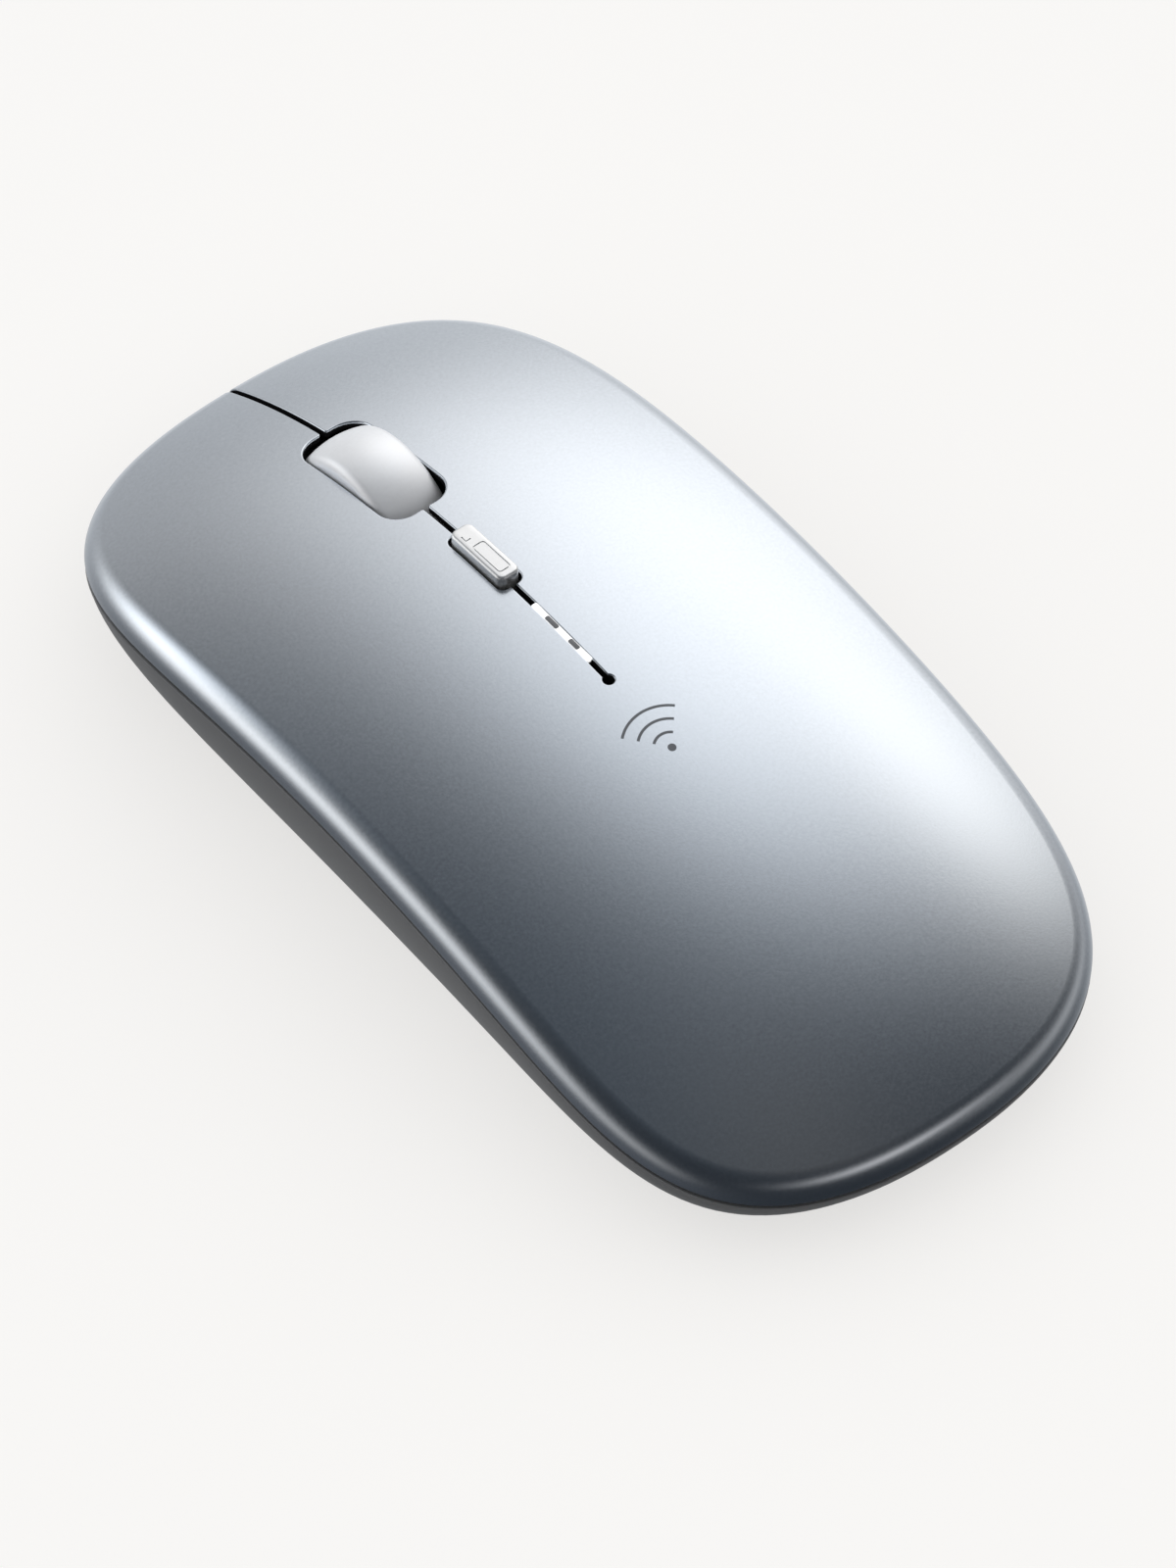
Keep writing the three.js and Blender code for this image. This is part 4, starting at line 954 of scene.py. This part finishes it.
def case_holes():
    """Screw holes, the pivot bore and every opening in the underside and front."""
    bay = rectangle_between(centred(BAY["half"]), (BAY["rear"], BAY["front"]), 1.0)
    holes = [chamfered_hole("bay", bay, BAY["top"])]
    for x, y in CASE_SCREWS:
        holes.append(chamfered_hole("screw_well", circle(x, y, SCREW["head"] + 0.25), SCREW["seat"]))
        holes.append(upright("screw_hole", x, y, SCREW["shank"] + 0.2, 1, 30, 20))
    for side in (-1, 1):
        holes.append(upright("frame_hole", side * FRAME_SCREW[0], FRAME_SCREW[1], 0.95, 3, 30, 20))
    bore = [(end, PIVOT["bore"]) for end in centred(POST["outer"] + 1)]
    holes.append(spun("pivot_bore", bore, 24, "X", (0, PIVOT["y"], PIVOT["z"])))
    window = rounded_rectangle(0, SENSOR_Y, *SENSOR_HALF, 1.2)
    holes.append(chamfered_hole("sensor_window", window, FLOOR_Z + 1))
    reach = KNOB["half"] + 0.3
    span_y = (KNOB["rear"] - 0.3, KNOB["rear"] + KNOB["length"] + KNOB["travel"] + 0.3)
    slot = rectangle_between((KNOB["x"] - reach, KNOB["x"] + reach), span_y, 0.8)
    holes.append(chamfered_hole("knob_slot", slot, FLOOR_Z + 1, 0.25))
    for end in (1, -1):
        holes.append(plate("foot_recess", foot_path(end, 0.15), 0, FOOT["top"]))
    holes.append(plate("label_recess", label_path(0.2), 0, LABEL["top"]))
    mouth = socket_path(0.3, 0.2)
    holes.append(along_y("socket_mouth", mouth, [(0, 48), (0, 54.4), (0.9, 56.6)]))
    return holes


def add_bottom_case():
    stations = rim(even_angles(0, 2 * math.pi, CASE_STATIONS + 1)[:-1])
    case = solid("bottom_case_shell", case_rings(stations))
    combine(case, case_posts(), "UNION")
    combine(case, case_holes(), "DIFFERENCE")
    finish_piece(case, "shell", "case_paint", "bottom_case")


def label_path(margin=0.0):
    span_y = (LABEL["rear"] - margin, LABEL["front"] + margin)
    return rectangle_between(centred(LABEL["half"] + margin), span_y, 2 + margin)


def add_underside():
    for end, name in ((1, "front_foot"), (-1, "rear_foot")):
        foot = prism(f"{name}_pad", foot_path(end), round_rows(0, FOOT["top"], 0.35))
        finish_piece(foot, "shell", "glide_plastic", name)
    label = plate("underside_label_film", label_path(), LABEL["bottom"], LABEL["top"])
    finish_piece(label, "shell", "label_film", "underside_label")
    for number, (x, y) in enumerate(CASE_SCREWS, 1):
        screw = case_screw(f"case_screw_{number}_turned", x, y)
        finish_piece(screw, "shell", "steel", f"case_screw_{number}")


def case_screw(name, x, y):
    """A pan head with a cross recess, its head facing down, on a plain shank."""
    head, seat, shank, top = (SCREW[key] for key in ("head", "seat", "shank", "top"))
    low = seat - SCREW["head_height"]
    profile = [
        (low, head * 0.55), (low + 0.1, head * 0.8), (low + 0.35, head * 0.97), (low + 0.6, head),
        (seat, head), (seat, shank), (top - 0.6, shank), (top, shank * 0.5),
    ]
    screw = spun(name, profile, 36, "Z", (x, y, 0))
    arms = []
    for half_x, half_y in ((1.1, 0.22), (0.22, 1.1)):
        path = rounded_rectangle(x, y, half_x, half_y, 0.1, 2)
        arms.append(prism("cross", path, [(0, low - 1), (0, low + 0.2), (-0.08, low + 0.7)]))
    return combine(screw, arms, "DIFFERENCE")


def add_sensor_lens():
    plate = rounded_rectangle(0, SENSOR_Y, 7, 5, 0.8)
    lens = prism("sensor_lens_moulding", plate, round_rows(FLOOR_Z + 0.05, 3.4, 0.15, 0.15))
    column = upright("column", 0, SENSOR_Y, 2.2, 3.3, PCB_TOP - 0.1)
    light_pipe = box_between("pipe", (-1.8, 1.8), (SENSOR_Y + 2, SENSOR_Y + 5), (3.3, 6.6))
    rise = np.linspace(0, math.pi / 2, 7)[:-1]
    bulge = [(FLOOR_Z + 0.3 - 0.9 * math.cos(turn), 1.7 * math.sin(turn) + 0.05) for turn in rise]
    dome = spun("dome", bulge + [(FLOOR_Z + 0.3, 1.75)], 32, "Z", (0, SENSOR_Y, 0))
    combine(lens, [column, light_pipe, dome], "UNION")
    finish_piece(lens, "shell", "clear_plastic", "sensor_lens")


def add_power_knob():
    x, half = KNOB["x"], KNOB["half"]
    middle = KNOB["rear"] + KNOB["length"] / 2
    grip_path = rounded_rectangle(x, middle, half, KNOB["length"] / 2, 0.5)
    knob = prism("power_knob_slider", grip_path, round_rows(KNOB["bottom"], FLOOR_Z + 0.3, 0.2))
    flange = rounded_rectangle(x, middle, 2.3, KNOB["length"] / 2 + 1.6, 0.6)
    fork = rounded_rectangle(x, middle, 0.5, 0.8, 0.15, 2)
    combine(knob, [
        plate("flange", flange, FLOOR_Z + 0.05, FLOOR_Z + 0.9),
        plate("fork", fork, FLOOR_Z + 0.8, 4.6),
    ], "UNION")
    grooves = []
    for step in range(4):
        y = KNOB["rear"] + 0.65 + 0.9 * step
        path = rounded_rectangle(x, y, 2, 0.22, 0.05, 2)
        grooves.append(prism("grip_groove", path, [(0.15, 0), (0, KNOB["bottom"] + 0.3)]))
    combine(knob, grooves, "DIFFERENCE")
    finish_piece(knob, "power_knob", "dark_plastic", "power_knob")


# ---- receiver and charge socket

RECEIVER = {"half": 7.2, "rear": -42.7, "cap": 6.8, "low": 1.0, "high": 7.1}
PLUG = {"half": 6.0, "length": 12.0, "height": 4.5, "sheet": 0.3}


def add_receiver():
    low, high, rear = RECEIVER["low"], RECEIVER["high"], RECEIVER["rear"]
    front = rear + RECEIVER["cap"]
    outline = rectangle_between(centred(RECEIVER["half"]), (rear, front), 1.4)
    cap = prism("receiver_cap_moulding", outline, round_rows(low, high, 0.35, 0.35))
    grips = []
    for step in (-1.6, -0.5, 0.6):
        path = rounded_rectangle(0, (rear + front) / 2 + step, 3.6, 0.24, 0.2, 3)
        grips.append(prism("cap_groove", path, [(0.1, low - 1), (0, low + 0.35)]))
    combine(cap, grips, "DIFFERENCE")
    finish_piece(cap, "receiver", "black_plastic", "receiver_cap")
    plug = plug_shell(front + 0.05, (low + high) / 2)
    finish_piece(plug, "receiver", "steel", "receiver_shell")


def plug_shell(rear, z):
    """The folded steel of the plug, open at its front, with its four latch holes."""
    front = rear + PLUG["length"]
    half_x, half_z, sheet = PLUG["half"], PLUG["height"] / 2, PLUG["sheet"]
    section = rounded_rectangle(0, z, half_x, half_z, 0.45)
    plug = along_y("receiver_plug_shell", section, [(0, rear), (0, front - 0.1), (-0.1, front)])
    hollow = rounded_rectangle(0, z, half_x - sheet, half_z - sheet, 0.2)
    cuts = [along_y("plug_hollow", hollow, [(0, rear + 0.5), (0, front + 1)])]
    for side in (-1, 1):
        hole = rounded_rectangle(side * 2.3, rear + 6.6, 1.25, 1.0, 0.1, 2)
        for face in (-1, 1):
            span_z = sorted((z + face * (half_z - 0.6), z + face * (half_z + 2)))
            cuts.append(plate("latch_hole", hole, *span_z))
    return combine(plug, cuts, "DIFFERENCE")


def add_charge_socket():
    rear, front, wall = SOCKET["rear"], SOCKET["front"], SOCKET["wall"]
    rows = [(0, rear), (0, front - 0.12), (-0.12, front)]
    socket = along_y("charge_socket_can", socket_path(), rows)
    rows = [(0, rear + 0.6), (0, front - 0.15), (0.25, front + 0.1)]
    mouth = along_y("mouth", socket_path(-wall, -wall), rows)
    combine(socket, [mouth], "DIFFERENCE")
    finish_piece(socket, "shell", "steel", "charge_socket")


# ---- wheel

WHEEL = {
    "y": 31.0, "z": 13.8, "radius": 9.25, "half": 3.58, "bore": 7.35, "tread": 10.0, "shoulder": 1.15,
}
SIDE_LIP = {"inner": 5.4, "thickness": 0.6, "bevel": 0.2}


def tyre_side():
    """One side of the tyre's section: crowned tread, shoulder, flank and a lip over the hub."""
    radius, half, tread, shoulder = WHEEL["radius"], WHEEL["half"], WHEEL["tread"], WHEEL["shoulder"]
    centre = half - shoulder
    meet = math.asin(centre / (tread - shoulder))
    height = radius - tread + (tread - shoulder) * math.cos(meet)
    points = [
        (tread * math.sin(turn), radius - tread * (1 - math.cos(turn)))
        for turn in np.linspace(0, meet, 8)[:-1]
    ]
    points += [
        (centre + shoulder * math.sin(turn), height + shoulder * math.cos(turn))
        for turn in np.linspace(meet, math.pi / 2, 12)
    ]
    inner, bevel, low = half - SIDE_LIP["thickness"], SIDE_LIP["bevel"], SIDE_LIP["inner"]
    return points + [(half, low + bevel), (half - bevel, low), (inner, low), (inner, WHEEL["bore"])]


def add_wheel():
    side = tyre_side()
    section = [(-x, r) for x, r in reversed(side[1:])] + side
    centre = (0, WHEEL["y"], WHEEL["z"])
    tyre = spun("wheel_tyre_moulding", section, 120, "X", centre, ring_shaped=True)
    finish_piece(tyre, "wheel", "wheel_gloss", "wheel_tyre")


# ---- centre button and lit windows

BUTTON = {"half": 1.25, "rear": 10.75, "front": 18.75, "proud": 1.25, "corner": 0.75, "foot": 20.2}
BUTTON_FLANGE = {"half": 2.3, "beyond": 0.75, "top": 21.1}
BUTTON_TICK = ((-0.62, 17.55), (-0.62, 16.85), (-0.05, 16.85))
BUTTON_OUTLINE = (0, 13.75, 0.66, 2.1)
BUTTON_LINE = 0.14
BUTTON_CUT = (-0.13, 0.3)
PLUNGER_TOP = 19.7
GUIDE = {"half": 1.2, "rear": -2.0, "front": 8.2, "bottom": 16.6, "top": 21.2}
MASK = {"half": 2.2, "wall": 0.9, "low": 15.4, "roof_low": 21.3, "roof_top": 21.85}
STRIP = {"half": 0.345, "neck": 0.235, "stem": 0.12, "depth": 0.36}
STEM_TOP = 23.7
DIVIDER = {"half": 0.25, "depth": 0.2}


def button_top(x, y):
    return crown(np.zeros_like(x), y) + BUTTON["proud"]


def add_button():
    rear, front, half = BUTTON["rear"], BUTTON["front"], BUTTON["half"]
    middle, beyond = (rear + front) / 2, BUTTON_FLANGE["beyond"]
    path = rectangle_between(centred(half), (rear, front), BUTTON["corner"], 8)
    outward = path_normals(path)
    rows = round_rows(-4.0, 0.0, 0.0, 0.3, 5) + [(-0.7, 0.0)]
    rings = [draped(path + outward * offset, button_top, lift) for offset, lift in rows]
    button = solid("centre_button_cap", rings)
    span_y = (rear - beyond, front + beyond)
    flange = rectangle_between(centred(BUTTON_FLANGE["half"]), span_y, 0.6)
    combine(button, [
        plate("flange", flange, BUTTON["foot"], BUTTON_FLANGE["top"]),
        upright("stem", 0, middle, 1.5, PLUNGER_TOP, BUTTON["foot"] + 0.5),
    ], "UNION")
    outline = rounded_rectangle(*BUTTON_OUTLINE, 0.3, 4)
    combine(button, [
        groove("outline_cut", outline, BUTTON_LINE, button_top, BUTTON_CUT),
        groove("tick_cut", np.array(BUTTON_TICK), BUTTON_LINE, button_top, BUTTON_CUT, closed=False),
    ], "DIFFERENCE")
    finish_piece(button, "dpi_button", "white_plastic", "dpi_button")


def crown_bar(name, span, rows):
    """A bar along the centre line. Each row gives a half width and a depth under the crown."""
    widest = max(half for half, _ in rows)
    path = rectangle_between(centred(widest), span, widest * 0.6, 5)
    outward = path_normals(path)
    return solid(name, [draped(path + outward * (half - widest), crown, -depth) for half, depth in rows])


def lip_row(depth):
    """How wide the strip may be at this depth, close beside the rounded lips of the seam."""
    drop = min(1.0, depth / SLOT_ROUND)
    sideways = SLOT_ROUND * math.sin(math.acos(1 - drop))
    return SEAM_HALF + SLOT_ROUND - sideways - 0.02, depth


def window_stem(name, span, half, margin):
    span_y = (span[0] - margin, span[1] + margin)
    return box_between(name, centred(half), span_y, (GUIDE["top"] + 0.02, STEM_TOP), 0.05)


def divider_spans():
    return [(behind[1], ahead[0]) for ahead, behind in zip(WINDOWS, WINDOWS[1:])]


def add_light_guide():
    outline = rectangle_between(centred(GUIDE["half"]), (GUIDE["rear"], GUIDE["front"]), 0.3)
    body = prism("light_guide_body", outline, round_rows(GUIDE["bottom"], GUIDE["top"], 0.15, 0.15))
    finish_piece(body, "shell", "clear_plastic", "light_guide")
    rows = [(STRIP["neck"], STRIP["depth"]), (STRIP["neck"], SLOT_ROUND + 0.02)]
    rows += [lip_row(depth) for depth in (0.12, 0.08, 0.05, 0.03)]
    rows += [(STRIP["half"], 0.01), (STRIP["half"] - 0.04, 0)]
    strip = crown_bar("lit_strip", (WINDOWS[-1][0], WINDOWS[0][1]), rows)
    combine(strip, [window_stem("stem", span, STRIP["stem"], -0.3) for span in WINDOWS], "UNION")
    rows = [(DIVIDER["half"] + 0.01, depth) for depth in (DIVIDER["depth"], -1)]
    combine(strip, [crown_bar("pocket", span, rows) for span in divider_spans()], "DIFFERENCE")
    finish_piece(strip, "shell", "clear_plastic", looks=(GLOW,))


def add_light_mask():
    rear, front, wall = GUIDE["rear"], GUIDE["front"], MASK["wall"]
    outline = rectangle_between(centred(MASK["half"]), (rear - wall, front + wall), 0.5)
    mask = prism("light_mask_box", outline, round_rows(MASK["low"], MASK["roof_top"], 0, 0.2))
    rows = [(STRIP["neck"], 2.2), (STRIP["neck"], STRIP["depth"] + 0.03)]
    fence = crown_bar("fence", (WINDOWS[-1][0] + 0.05, WINDOWS[0][1] - 0.05), rows)
    combine(mask, [fence], "UNION")
    span_y = (rear - 0.1, front + 0.1)
    hollow = box_between("hollow", centred(GUIDE["half"] + 0.1), span_y, (0, MASK["roof_low"]))
    gaps = [window_stem("gap", span, STRIP["stem"] + 0.03, -0.25) for span in WINDOWS]
    combine(mask, [hollow, *gaps], "DIFFERENCE")
    finish_piece(mask, "shell", "dark_plastic", "light_mask")


def add_dividers():
    half, depth = DIVIDER["half"], DIVIDER["depth"]
    rows = [(half, depth - 0.01), (half, 0), (half - 0.03, -0.02)]
    for number, (rear, front) in enumerate(divider_spans(), 1):
        divider = crown_bar(f"window_divider_{number}", (rear + 0.02, front - 0.02), rows)
        finish_piece(divider, "shell", "dark_plastic", looks=(GREY,))


# ---- printed sign

SIGN_Y = -13.4
SIGN_ARCS = (1.7, 3.2, 4.7)
SIGN_LINE = 0.28
SIGN_DOT = 0.42
SIGN_LIFTS = (-0.03, 0.012)


def add_sign():
    """A small wireless sign, a dot under three arcs, printed on the palm cover."""
    turns = np.linspace(math.radians(48), math.radians(132), 28)
    pieces = [
        groove(
            f"wireless_sign_arc_{number}", arc(0, SIGN_Y, radius, turns), SIGN_LINE, crown, SIGN_LIFTS,
            closed=False,
        )
        for number, radius in enumerate(SIGN_ARCS, 1)
    ]
    dot = circle(0, SIGN_Y, SIGN_DOT, 28)
    pieces.append(solid("wireless_sign_dot", [draped(dot, crown, lift) for lift in SIGN_LIFTS]))
    for piece in pieces:
        finish_piece(piece, "shell", "silver_paint", looks=(PRINT,))


# ---- camera, light and floor

AZIMUTH = math.radians(-38.512)
ELEVATION = math.radians(52.194)
DISTANCE = 896.4
TARGET = Vector((0, 0, 10))
SHIFT_RIGHT, SHIFT_UP = 0.532, -3.767
FOCAL_SHARE = 6.0411875
SENSOR = 36.0
FLOOR_HALF = 4000.0


def add_camera():
    back = Vector((
        math.sin(AZIMUTH) * math.cos(ELEVATION),
        -math.cos(AZIMUTH) * math.cos(ELEVATION),
        math.sin(ELEVATION),
    ))
    right = Vector((math.cos(AZIMUTH), math.sin(AZIMUTH), 0))
    up = back.cross(right)
    data = bpy.data.cameras.new("camera")
    data.sensor_width = SENSOR
    data.lens = FOCAL_SHARE * SENSOR
    data.clip_start = 0.05
    data.clip_end = 20
    camera = add_object("camera", data)
    turn = Matrix((right, up, back)).transposed().to_4x4()
    place = (TARGET + back * DISTANCE + right * SHIFT_RIGHT + up * SHIFT_UP) * MM
    camera.matrix_world = Matrix.Translation(place) @ turn
    bpy.context.scene.camera = camera


CEILING = {"toward": (0.1, 0.2, 1), "power": 2.5, "spread": math.radians(160)}
ROOM_COLOR = (0.036, 0.042, 0.050)
# Soft lights round the object. Each has a colour, then its azimuth from +Y, elevation, width and height.
SOFT_LIGHTS = {
    "window": ((1.56, 1.53, 1.50), 52, 31, 33, 26),
    "window_foot": ((0.24, 0.23, 0.22), 64, 2, 20, 11),
    "overhead": ((0.67, 0.69, 0.71), 59, 59, 22, 17),
    "window_edge": ((0.93, 0.89, 0.83), 86, 40, 14, 8),
    "left_strip": ((1.38, 1.35, 1.31), -48, 7, 34, 18),
    "left_card": ((1.02, 1.07, 1.12), -33, 21, 13, 18),
    "rear_strip": ((0.77, 0.74, 0.72), 170, 19, 20, 8.5),
    "rear_card": ((0.05, 0.04, 0.03), 171, 64, 13, 21),
    "left_rear_strip": ((0.24, 0.23, 0.22), -100, -1, 18, 13),
    "right_rear_card": ((0.37, 0.36, 0.35), 122, 2, 30, 13),
    "left_floor": ((0.075, 0.078, 0.085), -70, -35, 45, 25),
    "left_sky": ((0.045, 0.050, 0.055), -40, 54, 26, 11),
    "roof": ((0.045, 0.055, 0.065), 160, 85, 26, 30),
    "front_card": ((0.83, 0.84, 0.85), 41, -30, 52, 35),
}


def add_world():
    world = bpy.data.worlds.new("studio")
    bpy.context.scene.world = world
    world.use_nodes = True
    nodes = world.node_tree.nodes
    direction = nodes.new("ShaderNodeTexCoord").outputs["Generated"]
    total = ROOM_COLOR
    for color, *place in SOFT_LIGHTS.values():
        scaled = world_node(world, "VectorMath", "SCALE", color)
        world.node_tree.links.new(light_lobe(world, direction, *place), scaled.inputs["Scale"])
        total = world_node(world, "VectorMath", "ADD", scaled.outputs[0], total).outputs[0]
    world.node_tree.links.new(total, nodes["Background"].inputs["Color"])
    world.cycles_visibility.diffuse = False


def world_node(world, kind, operation, *values):
    """A Math or VectorMath node whose inputs are constants or other nodes' outputs."""
    node = world.node_tree.nodes.new(f"ShaderNode{kind}")
    node.operation = operation
    for socket, value in zip(node.inputs, values):
        if isinstance(value, bpy.types.NodeSocket):
            world.node_tree.links.new(value, socket)
        else:
            socket.default_value = value
    return node


def light_lobe(world, direction, azimuth, elevation, width, height):
    """How strong a soft light is in each direction: 1 at its centre, falling off as a bell curve."""
    def calculate(operation, *values):
        return world_node(world, "Math", operation, *values).outputs[0]

    def along(vector):
        return world_node(world, "VectorMath", "DOT_PRODUCT", direction, vector).outputs["Value"]

    a, e = math.radians(azimuth), math.radians(elevation)
    centre = Vector((math.sin(a) * math.cos(e), math.cos(a) * math.cos(e), math.sin(e)))
    across = Vector((math.cos(a), -math.sin(a), 0))
    turn = calculate("ARCCOSINE", along(centre))
    stretch = calculate("DIVIDE", turn, calculate("MAXIMUM", calculate("SINE", turn), 1e-4))
    squares = []
    for axis, spread in ((across, width), (across.cross(centre), height)):
        part = calculate("MULTIPLY", along(axis), stretch)
        part = calculate("MULTIPLY", part, 1 / math.radians(spread))
        squares.append(calculate("MULTIPLY", part, part))
    return calculate("EXPONENT", calculate("MULTIPLY", calculate("ADD", *squares), -1.0))


def add_fill():
    """A soft lamp so wide that it throws almost no shadow. It isn't seen in reflections."""
    data = bpy.data.lights.new("ceiling", "SUN")
    data.energy = CEILING["power"]
    data.angle = CEILING["spread"]
    lamp = add_object("ceiling", data)
    lamp.rotation_euler = Vector(CEILING["toward"]).to_track_quat("Z", "Y").to_euler()
    lamp.visible_glossy = False


def add_floor():
    corners = [(x * FLOOR_HALF, y * FLOOR_HALF, 0) for x, y in ((-1, -1), (1, -1), (1, 1), (-1, 1))]
    shell = Shell()
    shell.flat(corners, (0, 0, 1))
    floor = shell.build("floor")
    dress(floor, material("pale_floor", (0.37, 0.367, 0.362), 0.9, grain=60, mottle=0.004, bump=0.0,
                          specular=0.1, emission=((1.0, 0.99, 0.975), 0.65)))
    floor.visible_glossy = False


for step in (
    add_camera, add_covers, add_bottom_case, add_underside, add_sensor_lens, add_power_knob, add_receiver,
    add_charge_socket, add_wheel, add_button, add_light_guide, add_light_mask, add_dividers, add_sign,
    add_world, add_fill, add_floor,
):
    step()
bpy.context.scene.view_settings.view_transform = "Standard"
